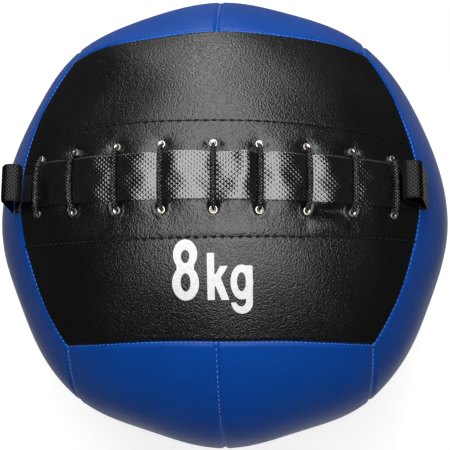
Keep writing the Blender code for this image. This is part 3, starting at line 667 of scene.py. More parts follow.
for side_name, way in (("upper", 1), ("lower", -1)):
    end = MOUTH_END * (1 - SEAM_BAND / (END_ANGLE * MOUTH_END * BALL_RADIUS))
    shares = np.linspace(-end, end, HEM_COLUMNS)[None, :]
    step = np.linspace(*HEM_EDGE_SHARES, HEM_ROWS)[:, None]
    offsets = lip_offset(shares) * (1 - step) + hem_offset(shares, way) * step
    directions = mouth_directions(np.broadcast_to(shares, offsets.shape), way * offsets)
    rise = front_rise(directions) - LEATHER_THICKNESS - FIT_GAP
    name = f"leather_facing_{side_name}"
    mesh = shell_mesh(name, skin(directions, rise), skin(directions, rise - FACING_THICKNESS))
    add_piece(name, mesh, black_leather, replaced=[f"eyelet_facing_{side_name}"])


def repeated(name, base, shape, finish, pitch=None):
    """Set a shape along the base's edges at a pitch, or on its points, as one plain mesh."""
    tree = bpy.data.node_groups.new(name, "GeometryNodeTree")
    tree.interface.new_socket("Geometry", in_out="INPUT", socket_type="NodeSocketGeometry")
    shape_socket = tree.interface.new_socket("Shape", in_out="INPUT", socket_type="NodeSocketObject")
    pitch_socket = tree.interface.new_socket("Pitch", in_out="INPUT", socket_type="NodeSocketFloat")
    tree.interface.new_socket("Geometry", in_out="OUTPUT", socket_type="NodeSocketGeometry")
    given = node(tree, "NodeGroupInput").outputs
    if pitch:
        curve = node(tree, "GeometryNodeMeshToCurve", {"Mesh": given["Geometry"]})
        spacing = {"Curve": curve.outputs[0], "Length": given["Pitch"]}
        places = node(tree, "GeometryNodeResampleCurve", spacing, mode="LENGTH").outputs[0]
        heading = node(tree, "GeometryNodeInputTangent").outputs[0]
    else:
        places = given["Geometry"]
        heading = node(
            tree, "GeometryNodeInputNamedAttribute", {"Name": "outward"}, data_type="FLOAT_VECTOR"
        ).outputs["Attribute"]
    turned = node(tree, "FunctionNodeAlignRotationToVector", {"Vector": heading}, axis="Z")
    shown = node(tree, "GeometryNodeObjectInfo", {"Object": given["Shape"]})
    put = node(
        tree,
        "GeometryNodeInstanceOnPoints",
        {"Points": places, "Instance": shown.outputs["Geometry"], "Rotation": turned.outputs[0]},
    )
    real = node(tree, "GeometryNodeRealizeInstances", {"Geometry": put.outputs[0]})
    dressed = node(tree, "GeometryNodeSetMaterial", {"Geometry": real.outputs[0], "Material": finish})
    node(tree, "NodeGroupOutput", {"Geometry": dressed.outputs[0]})
    carrier = bpy.data.objects.new(name + "_base", base)
    bpy.context.scene.collection.objects.link(carrier)
    maker = carrier.modifiers.new("repeat", "NODES")
    maker.node_group = tree
    maker[shape_socket.identifier] = shape
    maker[pitch_socket.identifier] = pitch or 0.0
    bpy.context.view_layer.update()
    depsgraph = bpy.context.evaluated_depsgraph_get()
    made = bpy.data.meshes.new_from_object(carrier.evaluated_get(depsgraph))
    carrier.modifiers.remove(maker)
    bpy.data.objects.remove(carrier)
    made.shade_smooth()
    return made


def line_mesh(name, lines):
    """The lines of a row of stitches, as edges."""
    points, edges = [], []
    for line in lines:
        first = len(points)
        points += line.tolist()
        edges += [(first + k, first + k + 1) for k in range(len(line) - 1)]
    mesh = bpy.data.meshes.new(name)
    mesh.from_pydata(points, edges, [])
    return mesh


def stitch(name, length, radius):
    """One stitch of thread as it shows: a short rounded bar."""
    mesh = bpy.data.meshes.new(name)
    bar = bmesh.new()
    bmesh.ops.create_uvsphere(bar, u_segments=7, v_segments=6, radius=radius)
    for vertex in bar.verts:
        vertex.co.z *= length / (2 * radius)
    bar.to_mesh(mesh)
    bar.free()
    return bpy.data.objects.new(name, mesh)


# Spun polyester thread: dull, with a paler fleck at each turn of its twist, a painted highlight in
# its colour. Real thread is 0.4 mm thick. It is drawn thicker, and its stitches longer and farther
# apart, so that they show.

THREAD_TWIST = 0.000403066
TWIST_DEPTH = 0.00008
WAVE_AT_SCALE_ONE = 2 * math.pi / (10 * math.sqrt(3))


def spun_thread(name, colour, bright):
    """Twisted polyester thread: two tones that follow its twist, the paler one a painted highlight, with a
    soft sheen.
    """
    finish, tree, shader = new_finish(name)
    place = node(tree, "ShaderNodeTexCoord").outputs["Object"]
    repeats = {"Vector": place, "Scale": WAVE_AT_SCALE_ONE / THREAD_TWIST, "Distortion": 1.5}
    twist = node(tree, "ShaderNodeTexWave", repeats, bands_direction="DIAGONAL")
    # The paler stop is a painted highlight on each turn of the twist.
    stops = [(0.2, colour), (0.8, bright)]
    tone = node(tree, "ShaderNodeValToRGB", {"Fac": twist.outputs["Fac"]}, stops=stops)
    tree.links.new(tone.outputs["Color"], shader.inputs["Base Color"])
    bump = node(tree, "ShaderNodeBump", {"Height": twist.outputs["Fac"], "Distance": TWIST_DEPTH})
    tree.links.new(bump.outputs["Normal"], shader.inputs["Normal"])
    shader.inputs["Roughness"].default_value = 0.6
    shader.inputs["Specular IOR Level"].default_value = 0.15
    return finish


BRAID_PITCH = 0.0042
BRAID_STRANDS = 4
BRAID_DEPTH = 0.22
BRAID_LEVEL = 0.6


def smooth_line(points, step):
    """A line through points at even steps, rounded at each point."""
    before = np.vstack([2 * points[:1] - points[1:2], points[:-1]])
    after = np.vstack([points[1:], 2 * points[-1:] - points[-2:-1]])
    slopes = (after - before) / 2
    h = np.linspace(0, 1, 12, endpoint=False)[:, None]
    pieces = []
    for start, end, leaving, arriving in zip(points[:-1], points[1:], slopes[:-1], slopes[1:]):
        piece = (2 * h**3 - 3 * h**2 + 1) * start + (h**3 - 2 * h**2 + h) * leaving
        pieces.append(piece + (3 * h**2 - 2 * h**3) * end + (h**3 - h**2) * arriving)
    line = np.vstack([*pieces, points[-1:]])
    length = np.concatenate([[0], np.cumsum(np.linalg.norm(np.diff(line, axis=0), axis=1))])
    even = np.arange(0, length[-1], step)
    return np.stack([np.interp(even, length, line[:, k]) for k in range(3)], -1)


def cord_mesh(name, line, step, radius, sides):
    """A braided cord along a line of even steps: a tube whose strands stand proud."""
    tangents = unit(np.gradient(line, axis=0))
    normal = unit(np.cross(tangents[0], [0.3, 0.5, 0.8]))
    frames = []
    for tangent in tangents:
        normal = unit(normal - tangent * (normal @ tangent))
        frames.append((normal, np.cross(tangent, normal)))
    normals = np.array([pair[0] for pair in frames])[:, None]
    others = np.array([pair[1] for pair in frames])[:, None]
    turn = np.linspace(0, 2 * math.pi, sides, endpoint=False)[None, :, None]
    run = (np.arange(len(line)) * step)[:, None, None] * math.pi / BRAID_PITCH * 2
    relief = np.abs(np.cos(BRAID_STRANDS / 2 * turn + run) * np.cos(BRAID_STRANDS / 2 * turn - run))
    reach = np.broadcast_to(radius, len(line))[:, None, None] * (1 + BRAID_DEPTH * (relief - BRAID_LEVEL))
    rings = line[:, None] + reach * (normals * np.cos(turn) + others * np.sin(turn))
    count = len(line)
    points = np.concatenate([rings.reshape(-1, 3), line[:1], line[-1:]])
    index = np.arange(count * sides).reshape(count, sides)
    after = np.roll(index, -1, axis=1)
    faces = np.stack([index[:-1], after[:-1], after[1:], index[1:]], -1).reshape(-1, 4).tolist()
    last = count * sides
    faces += [(last, int(b), int(a)) for a, b in zip(index[0], after[0])]
    faces += [(last + 1, int(a), int(b)) for a, b in zip(index[-1], after[-1])]
    mesh = bpy.data.meshes.new(name)
    mesh.from_pydata(points.tolist(), [], faces)
    mesh.shade_smooth()
    spots = np.concatenate([relief.reshape(-1), [0.5, 0.5]])
    mesh.attributes.new("strand", "FLOAT", "POINT").data.foreach_set("value", spots.astype(np.float32))
    return mesh


black_thread = spun_thread("black_polyester_thread", hex_colour("#040404"), hex_colour("#242526"))
for side_name, way, radius in (("upper", 1, HEM_STITCH_RADII[0]), ("lower", -1, HEM_STITCH_RADII[1])):
    hem_stitch = stitch("hem_stitch", HEM_STITCH_LENGTH, radius)
    end = HEM_LINE_SHARE * MOUTH_END
    shares = np.linspace(-end, end, HEM_LINE_POINTS)
    directions = mouth_directions(shares, way * hem_offset(shares, way))
    line = skin(directions, front_rise(directions) + HEM_STITCH_LIFT_SHARE * radius)
    name = f"hem_stitches_{side_name}"
    mesh = repeated(name, line_mesh("hem_line", [line]), hem_stitch, black_thread, HEM_STITCH_PITCH)
    add_piece(name, mesh, black_thread)
    line = skin(directions, front_rise(directions) + HEM_THREAD_LIFT_SHARE * THREAD_RADIUS)
    line = smooth_line(line, HEM_THREAD_STEP)
    mesh = cord_mesh("hem_thread", line, HEM_THREAD_STEP, THREAD_RADIUS, HEM_THREAD_SIDES)
    add_piece(f"hem_thread_{side_name}", mesh, black_thread)


# Light blue polyester thread closes every seam of the belt with a lock stitch. It lies in the
# groove, on the blue side where the belt meets a black panel, and reads as a row of pale dashes.

SEAM_STITCH_LENGTH = 0.0024
CROSSING_STITCH_LENGTH = 0.0031
CROSSING_STITCH_PITCH = 0.0047
CROSSING_STITCH_RADIUS = 1.4 * THREAD_RADIUS
BESIDE_SEAM = 0.0006
SEAM_LINE_SHARE = 0.99
SEAM_LINE_POINTS = 300
SEAM_STITCH_LIFT_SHARE = 0.2

blue_thread = spun_thread("blue_polyester_thread", hex_colour("#2f6fd6"), hex_colour("#7db0f4"))
seam_stitch = stitch("seam_stitch", SEAM_STITCH_LENGTH, THREAD_RADIUS)
crossing_stitch = stitch("crossing_stitch", CROSSING_STITCH_LENGTH, CROSSING_STITCH_RADIUS)


def seam_thread(seam, aside=0.0):
    """The line of thread along a seam, moved a little to one side of it."""
    directions = seam.at(np.linspace(-SEAM_LINE_SHARE, SEAM_LINE_SHARE, SEAM_LINE_POINTS))
    directions = unit(directions + seam.normal * aside / BALL_RADIUS)
    return skin(directions, seam_pull(directions, [seam]) + SEAM_STITCH_LIFT_SHARE * THREAD_RADIUS)


def away_from(seam, pole):
    """The sign of the seam's normal that points away from a place."""
    return -math.copysign(1, float(seam.normal @ pole) - seam.level)


lines = []
for height, families in ((1.0, (SIDE_SEAMS, END_SEAMS)), (-1.0, (BACK_SIDE_SEAMS, BACK_END_SEAMS))):
    pole = np.array([0.0, 0.0, height])
    for seam in [seam for family in families for seam in family.values()]:
        lines.append(seam_thread(seam, BESIDE_SEAM * away_from(seam, pole)))
mesh = repeated("seam_stitches", line_mesh("seam_lines", lines), seam_stitch, blue_thread, SEAM_STITCH_PITCH)
add_piece("seam_stitches", mesh, blue_thread)
lines = [seam_thread(seam) for seam in CROSSING_SEAMS.values()]
crossing_lines = line_mesh("crossing_lines", lines)
mesh = repeated("crossing_stitches", crossing_lines, crossing_stitch, blue_thread, CROSSING_STITCH_PITCH)
add_piece("crossing_stitches", mesh, blue_thread)


# The strip that covers the mouth: black PVC-coated polyester scrim, cut with bare edges and slid
# under the lace. It is glossy, and the threads under its coating break its reflections into small
# bright diamonds. They lie 1.1 mm apart, too fine to show, so they are drawn three times as coarse.

STRIP_END_SHARES = (-1.065, 1.06)
STRIP_CROWN = 0.0005
STRIP_SHEET = 0.0009
STRIP_COLUMNS = 520
STRIP_ROWS = 44
PINCH_DEPTH = 0.0004

# The lace presses it down at each rung, and between rungs it stands up in cells. Each list has one
# value for each cell, from the half cell past the left eyelets to the one past the right: how high
# the cell stands, how rounded its top is, how far that lies to the left, and how far it leans.
# A shallow buckle runs over all of them, in waves a little over half a cell long.

STRIP_PUFFS = np.array([0.8, 0.8, 1.2, 2.0, 4.2, 4.4, 3.4, 2.6, 1.4, 0.8]) / 1000
STRIP_POWERS = np.array([1.0, 1.0, 1.0, 1.1, 0.6, 1.1, 1.0, 1.1, 1.0, 1.0])
STRIP_SHIFTS = np.array([0.0, 0.0, 0.0, -0.06, 0.10, -0.18, 0.10, 0.08, 0.0, 0.0])
STRIP_LEANS = np.array([0.3, 0.3, 0.5, -0.6, 0.8, -1.1, 0.3, 0.8, 0.4, 0.4])
FULL_LEAN = 0.12
BUCKLE_RISE = 0.00028
BUCKLE_SHARE = 23 / 39
BUCKLE_WIDTH = 0.021
BUCKLE_BEND = 0.5
BUCKLE_SPREAD = 2.2
BUCKLE_STARTS = np.array([0.0, 1.1, 2.2, 3.3, 1.6, 2.4, -1.9, 0.6, 2.6, 3.5])
BUCKLE_LEVELS = np.array([0.0, -1.7, -3.4, -2.2, 1.2, 1.9, 0.0, 1.0, -1.2, 0.4])


def strip_rise(shares, offsets):
    """The underside of the strip above the ball's surface."""
    place = cell_place(shares)
    cell = np.clip(np.floor(place).astype(int) + 1, 0, len(STRIP_PUFFS) - 1)
    slant = STRIP_SHIFTS[cell] + FULL_LEAN * STRIP_LEANS[cell] * 2 * offsets / STRIP_WIDTH
    crest = place + slant * np.sin(math.pi * place) ** 2
    between = np.abs(np.sin(math.pi * crest))
    crown = 1 - (2 * offsets / STRIP_WIDTH) ** 2
    leather = front_rise(mouth_directions(shares, offsets))
    leather = np.where(np.abs(offsets) > MOUTH_WIDTH / 2, np.maximum(leather, 0), 0)
    own = STRIP_CROWN * crown * between + STRIP_PUFFS[cell] * between ** STRIP_POWERS[cell]
    along = 2 * math.pi * np.mod(place, 1) / BUCKLE_SHARE + BUCKLE_STARTS[cell]
    across = 2 * math.pi * offsets / BUCKLE_WIDTH + BUCKLE_LEVELS[cell]
    buckle = np.sin(along + BUCKLE_BEND * np.sin(across)) * np.cos(across)
    own += BUCKLE_RISE * np.minimum(1, BUCKLE_SPREAD * between) * buckle
    return np.maximum(own, leather) + FIT_GAP


def add_cloth_map(mesh, places):
    """A UV map in metres on the cloth, one place for each vertex."""
    layer = mesh.uv_layers.new(name="cloth")
    corners = np.zeros(len(mesh.loops), np.int32)
    mesh.loops.foreach_get("vertex_index", corners)
    layer.data.foreach_set("uv", places[corners].astype(np.float32).ravel())


shares, offsets = np.meshgrid(np.linspace(*STRIP_END_SHARES, STRIP_COLUMNS), np.linspace(-1, 1, STRIP_ROWS))
pinch = 0.5 * (1 + np.cos(2 * math.pi * cell_place(shares)))
offsets = offsets * (STRIP_WIDTH / 2 - PINCH_DEPTH * pinch**4)
directions = mouth_directions(shares, offsets)
rise = strip_rise(shares, offsets)
mesh = shell_mesh("closure_strip_scrim", skin(directions, rise + STRIP_SHEET), skin(directions, rise))
flat = np.stack([shares * END_ANGLE * BALL_RADIUS, offsets], -1).reshape(-1, 2)
add_cloth_map(mesh, np.concatenate([flat, flat]))


WEAVE_ALONG = 0.0036
WEAVE_ACROSS = 0.0031
WEAVE_DEPTH = 0.00018
LIT_EDGE_INSETS = (0.0008, 0.0004)


def woven_height(tree, along, across):
    """Crossed threads, as raised diamonds in a staggered lattice, and the flat place on them."""
    flat = node(tree, "ShaderNodeSeparateXYZ", {0: node(tree, "ShaderNodeUVMap", uv_map="cloth").outputs[0]})
    turns = []
    for place, pitch in zip(flat.outputs, (along, across)):
        turn = node(tree, "ShaderNodeMath", {0: place, 1: math.pi / pitch}, operation="MULTIPLY")
        turns.append(turn.outputs[0])
    waves = []
    for way in ("ADD", "SUBTRACT"):
        turned = node(tree, "ShaderNodeMath", {0: turns[0], 1: turns[1]}, operation=way)
        wave = node(tree, "ShaderNodeMath", {0: turned.outputs[0]}, operation="COSINE")
        waves.append(node(tree, "ShaderNodeMath", {0: wave.outputs[0]}, operation="ABSOLUTE").outputs[0])
    return node(tree, "ShaderNodeMath", {0: waves[0], 1: waves[1]}, operation="MULTIPLY").outputs[0], flat


coated_scrim, tree, shader = new_finish("pvc_coated_scrim")
weave, flat_place = woven_height(tree, WEAVE_ALONG, WEAVE_ACROSS)
raised = node(tree, "ShaderNodeMapRange", {"Value": weave, "From Min": 0.08, "From Max": 0.75})
bump = node(tree, "ShaderNodeBump", {"Height": raised.outputs[0], "Distance": WEAVE_DEPTH, "Strength": 1.0})
gloss = node(tree, "ShaderNodeMapRange", {"Value": raised.outputs[0], "To Min": 0.24, "To Max": 0.15})
tree.links.new(gloss.outputs[0], shader.inputs["Roughness"])
# Only the upper cut edge is painted pale grey: the bare edge's paler colour, shown on the upper side alone as
# a painted highlight where light from above falls on it.
start, end = (STRIP_WIDTH / 2 - inset for inset in LIT_EDGE_INSETS)
reach = {"Value": flat_place.outputs[1], "From Min": start, "From Max": end}
lit_upper_cut_edge = node(tree, "ShaderNodeMapRange", reach)
# The colour follows the weave: a little lighter on the raised threads and darker in the grooves between them,
# as painted shade.
stops = [(0.0, hex_colour("#050606")), (1.0, hex_colour("#0c0e0f"))]
tone = node(tree, "ShaderNodeValToRGB", {"Fac": weave}, stops=stops)
colours = {"Color1": tone.outputs["Color"], "Color2": hex_colour("#4a4e51")}
edged = node(tree, "ShaderNodeMixRGB", {"Fac": lit_upper_cut_edge.outputs[0], **colours})
tree.links.new(edged.outputs[0], shader.inputs["Base Color"])
tree.links.new(bump.outputs["Normal"], shader.inputs["Normal"])
shader.inputs["Specular IOR Level"].default_value = 1.0
shader.inputs["IOR"].default_value = 1.85
add_piece("closure_strip_scrim", mesh, coated_scrim, replaced=["closure_strip"])


# Eighteen eyelets of stamped brass, nickel-plated: a flange and a barrel pressed through the
# leather and its hem, with a washer crimped behind. They read as small bright rings, warm where
# the plating is thin. The front is dished toward a narrow hole, so that it shows beside the cord.

EYELET_BORE = 0.0020
EYELET_WALL = 0.0011
FLANGE_WIDTH = 0.00055
FLANGE_HEIGHT = 0.0003
FLANGE_EDGE_SHARES = (0.2, 0.7)
DISH_DEPTH = 0.00055
DISH_CONE_SHARE = 0.35
WASHER_DEPTH = 0.0040
WASHER_SHEET = 0.0004
DISH_STEPS = 7
EYELET_STEPS = 28
EYELET_SINK = -0.0006


def eyelet_shape():
    """One eyelet, turned about its axis, with its flange's underside at height zero."""
    bore = EYELET_BORE / 2
    outer = bore + EYELET_WALL
    reach = outer + FLANGE_WIDTH
    inset, height = FLANGE_EDGE_SHARES
    outline = [(outer, 0.0), (reach, 0.0), (reach - inset * FLANGE_WIDTH, height * FLANGE_HEIGHT)]
    for step in range(DISH_STEPS):
        share = step / (DISH_STEPS - 1)
        sunk = DISH_CONE_SHARE * share + (1 - DISH_CONE_SHARE) * math.sin(math.pi / 2 * share)
        outline.append((outer - (outer - bore) * share, FLANGE_HEIGHT - DISH_DEPTH * sunk))
    washer_front = -WASHER_DEPTH + WASHER_SHEET
    outline += [(bore, -WASHER_DEPTH), (reach, -WASHER_DEPTH), (reach, washer_front), (outer, washer_front)]
    points = []
    for step in range(EYELET_STEPS):
        angle = 2 * math.pi * step / EYELET_STEPS
        points += [(r * math.cos(angle), r * math.sin(angle), z) for r, z in outline]
    size = len(outline)
    faces = []
    for step in range(EYELET_STEPS):
        here, there = step * size, (step + 1) % EYELET_STEPS * size
        for k in range(size):
            after = (k + 1) % size
            faces.append((here + k, there + k, there + after, here + after))
    mesh = bpy.data.meshes.new("eyelet")
    mesh.from_pydata(points, [], faces)
    solid = bmesh.new()
    solid.from_mesh(mesh)
    bmesh.ops.recalc_face_normals(solid, faces=solid.faces)
    solid.to_mesh(mesh)
    solid.free()
    return bpy.data.objects.new("eyelet", mesh)


WEAR_SIZE = 0.00238095
BATCH_SIZE = 0.0714286
nickel, tree, shader = new_finish("nickel_plated_brass")
place = node(tree, "ShaderNodeTexCoord").outputs["Object"]
worn = node(tree, "ShaderNodeTexNoise", {"Vector": place, "Scale": 1 / WEAR_SIZE, "Detail": 3.0})
batch = node(tree, "ShaderNodeTexNoise", {"Vector": place, "Scale": 1 / BATCH_SIZE, "Detail": 1.0})
plate = node(tree, "ShaderNodeMath", {0: worn.outputs["Fac"], 1: batch.outputs["Fac"]}, operation="MULTIPLY")
stops = [(0.08, hex_colour("#d8c3b3")), (0.16, hex_colour("#f0ece6"))]
tone = node(tree, "ShaderNodeValToRGB", {"Fac": plate.outputs[0]}, stops=stops)
tree.links.new(tone.outputs["Color"], shader.inputs["Base Color"])
gloss = node(tree, "ShaderNodeMapRange", {"Value": worn.outputs["Fac"], "To Min": 0.32, "To Max": 0.48})
tree.links.new(gloss.outputs[0], shader.inputs["Roughness"])
shader.inputs["Metallic"].default_value = 1.0


class EyeletPlace:
    """A place on the ball with its outward, upward and rightward directions."""

    def __init__(self, direction, rise):
        self.out = Vector(direction)
        self.right = Vector((0, 1, 0)).cross(self.out).normalized()
        self.up = self.out.cross(self.right)
        self.origin = Vector(skin(direction, rise))


def eyelet_places(way):
    """The nine places of a row, on leather that its lace pulls in."""
    directions = mouth_directions(EYELET_SHARES, way * eyelet_offset(EYELET_SHARES))
    return [EyeletPlace(direction, EYELET_SINK) for direction in directions]


eyelet = eyelet_shape()
for side_name, way in (("upper", 1), ("lower", -1)):
    places = eyelet_places(way)
    base = bpy.data.meshes.new("eyelet_points")
    base.from_pydata([tuple(place.origin) for place in places], [], [])
    outward = base.attributes.new("outward", "FLOAT_VECTOR", "POINT")
    outward.data.foreach_set("vector", [value for place in places for value in place.out])
    mesh = repeated(f"eyelets_{side_name}", base, eyelet, nickel)
    mesh.set_sharp_from_angle(angle=math.radians(40))
    names = [f"eyelet_{side_name}_{number}" for number in range(1, EYELETS_PER_ROW + 1)]
    add_piece(f"eyelets_{side_name}", mesh, nickel, replaced=names)


# The lace: 0.84 m of 3.3 mm braided polyester cord, knotted at both ends behind the leather. It
# crosses the strip at each pair of eyelets and steps on inside. The braid is black and dull, and
# its raised strands are painted with pale grey flecks, painted highlights where they would catch
# the light, longer than real ones so that they show.

LACE_RADIUS = 0.00165
LACE_SQUEEZE = 0.38
SQUEEZE_REACH = 0.0032
LACE_BEND = 0.0013
LACE_SHIFT = 0.0010
LACE_TAIL = 0.012
KNOT_RADIUS = 0.0028
FLANGE_FRONT = 0.0004
WASHER_BACK = 0.0052
INNER_RUN_DEPTH = 0.0079
BEND_STEPS = 2
INNER_RUN_POINTS = 1
RUNG_POINTS = 5
RUNG_RISES = (0.0016, 0.0030, 0.0030, 0.0030, 0.0030, 0.0030, 0.0030, 0.0030, 0.0016)
RUNG_SWAYS = (0.0, -0.0010, 0.0, 0.0003, 0.0, 0.0002, 0.0004, -0.0004, 0.0)
CORD_STEP = 0.0004
CORD_SIDES = 22
FLECK_SIZE = 0.00111111
FLECK_DEPTH = 0.0001


def quarter_bend(place, heading, outside):
    """Points from the axis of an eyelet round to a run along the leather."""
    start = FLANGE_FRONT if outside else -WASHER_BACK
    sign = 1 if outside else -1
    points = []
    for step in range(BEND_STEPS + 1):
        angle = math.pi / 2 * step / BEND_STEPS
        away = heading * (LACE_BEND * (1 - math.cos(angle)) + (LACE_SHIFT if outside else 0.0))
        points.append(place.origin + away + place.out * (start + sign * LACE_BEND * math.sin(angle)))
    return points


def way_along(start, end):
    """The direction along the leather from one place to another."""
    way = end.origin - start.origin
    return (way - start.out * way.dot(start.out)).normalized()


def run_between(start, end, rise, count, sway=0.0):
    """Points on the way from one place to another at a rise above the surface."""
    points = []
    for step in range(1, count + 1):
        share = step / (count + 1)
        direction = np.array(start.out.lerp(end.out, share).normalized())
        point = Vector(skin(direction, rise))
        points.append(point + start.right * sway * math.sin(math.pi * share))
    return points


def lace_route():
    """One cord: over the strip at each pair of eyelets, and along the inside to the next pair."""
    upper, lower = eyelet_places(1), eyelet_places(-1)
    route = []
    for column in range(EYELETS_PER_ROW):
        first, second = (upper, lower) if column % 2 == 0 else (lower, upper)
        enter, leave = first[column], second[column]
        arriving = way_along(enter, first[column - 1]) if column else -enter.right
        if column == 0:
            route.append(enter.origin + arriving * LACE_TAIL - enter.out * INNER_RUN_DEPTH)
        else:
            route += run_between(first[column - 1], enter, -INNER_RUN_DEPTH, INNER_RUN_POINTS)
        route += reversed(quarter_bend(enter, arriving, False))
        route += quarter_bend(enter, way_along(enter, leave), True)
        route += run_between(enter, leave, RUNG_RISES[column], RUNG_POINTS, RUNG_SWAYS[column])
        route += reversed(quarter_bend(leave, way_along(leave, enter), True))
        onward = way_along(leave, second[column + 1]) if column < EYELETS_PER_ROW - 1 else leave.right
        route += quarter_bend(leave, onward, False)
    route.append(leave.origin + onward * LACE_TAIL - leave.out * INNER_RUN_DEPTH)
    return np.array([tuple(point) for point in route])


braided_cord, tree, shader = new_finish("braided_polyester_cord")
strand = node(tree, "ShaderNodeAttribute", attribute_name="strand")
place = node(tree, "ShaderNodeTexCoord").outputs["Object"]
fleck = node(tree, "ShaderNodeTexNoise", {"Vector": place, "Scale": 1 / FLECK_SIZE, "Detail": 2.0})
# Pale flecks are painted on the raised strands only: painted highlights.
painted_strand_highlight = node(tree, "ShaderNodeMath", {0: strand.outputs["Fac"], 1: fleck.outputs["Fac"]}, operation="MULTIPLY")
stops = [(0.0, hex_colour("#020202")), (0.30, hex_colour("#050505")), (0.46, hex_colour("#8d8a83"))]
tone = node(tree, "ShaderNodeValToRGB", {"Fac": painted_strand_highlight.outputs[0]}, stops=stops)
tree.links.new(tone.outputs["Color"], shader.inputs["Base Color"])
bump = node(tree, "ShaderNodeBump", {"Height": fleck.outputs["Fac"], "Distance": FLECK_DEPTH})
tree.links.new(bump.outputs["Normal"], shader.inputs["Normal"])
shader.inputs["Roughness"].default_value = 0.55
shader.inputs["Specular IOR Level"].default_value = 0.25

route = lace_route()
line = smooth_line(route, CORD_STEP)
holes = np.array([tuple(place.origin) for way in (-1, 1) for place in eyelet_places(way)])
from_hole = np.linalg.norm(line[:, None] - holes[None], axis=-1).min(axis=1)
radii = LACE_RADIUS * (1 - LACE_SQUEEZE * bump_at(from_hole, SQUEEZE_REACH))
mesh = cord_mesh("braided_lace", line, CORD_STEP, radii, CORD_SIDES)
add_piece("braided_lace", mesh, braided_cord, replaced=["lace"])


KNOT_TURNS = 1.5
KNOT_POINTS = 40
KNOT_LOOP_SHARE = 0.45
KNOT_CORD_SHARE = 0.8
KNOT_SIDEWAYS = (0.2, 0.9, 0.3)


def knot_mesh(name, end, before):
    """A figure knot pulled tight: one and a half turns of the cord round itself."""
    way = unit(end - before)
    side = unit(np.cross(way, KNOT_SIDEWAYS))
    other = np.cross(way, side)
    share = np.linspace(0, 1, KNOT_POINTS)[:, None]
    angle = 2 * math.pi * KNOT_TURNS * share
    middle = end + way * (KNOT_RADIUS + FIT_GAP)
    loop = KNOT_LOOP_SHARE * KNOT_RADIUS
    line = middle + way * KNOT_RADIUS * (share - 0.5) + loop * (side * np.cos(angle) + other * np.sin(angle))
    radius = KNOT_CORD_SHARE * LACE_RADIUS
    return cord_mesh(name, smooth_line(line, CORD_STEP), CORD_STEP, radius, CORD_SIDES)


for hand, end, before in (("left", route[0], route[1]), ("right", route[-1], route[-2])):
    name = f"braided_knot_{hand}"
    mesh = knot_mesh(name, end, before)
    add_piece(name, mesh, braided_cord, replaced=[f"lace_knot_{hand}"])


# A loop of ribbed nylon webbing at each end of the mouth, 26 mm wide. Its two ends are sewn
# into the side seam, and the loop folds over at the seam and keeps its crest open. The woven ribs
# give it a dry black; their raised tops are painted a lighter, warmer black, partly its own warm
# tint and partly fine painted highlights. Real ribs are 1.1 mm wide and drawn at twice that.

WEBBING_WIDTH = 0.026
WEBBING_THICKNESS = 0.0016
LOOP_LENGTH = 0.0405
LOOP_CREST_RADIUS = 0.007
LOOP_CREST_POINTS = 40
LOOP_SIDE_SHARE = 0.35
TAIL_RISE = 0.0012
TAIL_DEPTH = 0.011
NECK_RADIUS = WEBBING_THICKNESS + FIT_GAP / 2
HINGE_RISE = TAIL_RISE + FIT_GAP + NECK_RADIUS
TAIL_SPACE = FIT_GAP + WEBBING_THICKNESS
LOOP_ANGLES = {-1: math.radians(25.0), 1: math.radians(12.0)}
RIB_PITCH = 0.0022
PICK_PITCH = 0.0026
RIB_DEPTH = 0.00034
SELVEDGE_POWER = 12
WEBBING_COLUMNS = 27
WEBBING_STEP = 0.0007
TAIL_STEPS = 18


class LoopSeat:
    """Where a loop is sewn in, on the side seam, with its inward, outward and level directions."""

    def __init__(self, side):
        self.out = Vector(on_ball(side * PANEL_SIDE_SHARE, 0))
        self.level = Vector((0, 1, 0))
        self.inward = Vector((-side * self.out.z, 0, side * self.out.x))
        self.origin = Vector(skin(np.array(self.out)))

    def point(self, inward, level, out):
        return self.origin + self.inward * inward + self.level * level + self.out * out


def webbing_strip(name, line, normals, level):
    """Webbing swept along a line: rounded selvedges and a flat face each side."""
    count = len(line)
    across = np.linspace(-1, 1, WEBBING_COLUMNS)
    edge = np.sqrt(np.clip(1 - np.abs(across) ** SELVEDGE_POWER, 0, 1))
    half = WEBBING_THICKNESS / 2
    wide = (WEBBING_WIDTH / 2 * across)[None, :, None] * np.array(level)
    front = line[:, None] + wide + (half * edge)[None, :, None] * normals[:, None]
    back = line[:, None] + wide - (half * edge)[None, :, None] * normals[:, None]
    ring = np.concatenate([front, back[:, -2:0:-1]], axis=1)
    sides = ring.shape[1]
    index = np.arange(count * sides).reshape(count, sides)
    turned = np.roll(index, -1, axis=1)
    faces = np.stack([index[:-1], turned[:-1], turned[1:], index[1:]], -1).reshape(-1, 4).tolist()
    faces += [tuple(int(k) for k in index[0][::-1]), tuple(int(k) for k in index[-1])]
    mesh = bpy.data.meshes.new(name)
    mesh.from_pydata(ring.reshape(-1, 3).tolist(), [], faces)
    solid = bmesh.new()
    solid.from_mesh(mesh)
    bmesh.ops.recalc_face_normals(solid, faces=solid.faces)
    solid.to_mesh(mesh)
    solid.free()
    mesh.shade_smooth()
    mesh.set_sharp_from_angle(angle=math.radians(55))
    run = np.concatenate([[0], np.cumsum(np.linalg.norm(np.diff(line, axis=0), axis=1))])
    widths = np.concatenate([across, across[-2:0:-1]]) * WEBBING_WIDTH / 2
    flat = np.stack(np.broadcast_arrays(run[:, None], widths[None, :]), -1).reshape(-1, 2)
    add_cloth_map(mesh, flat)
    return mesh


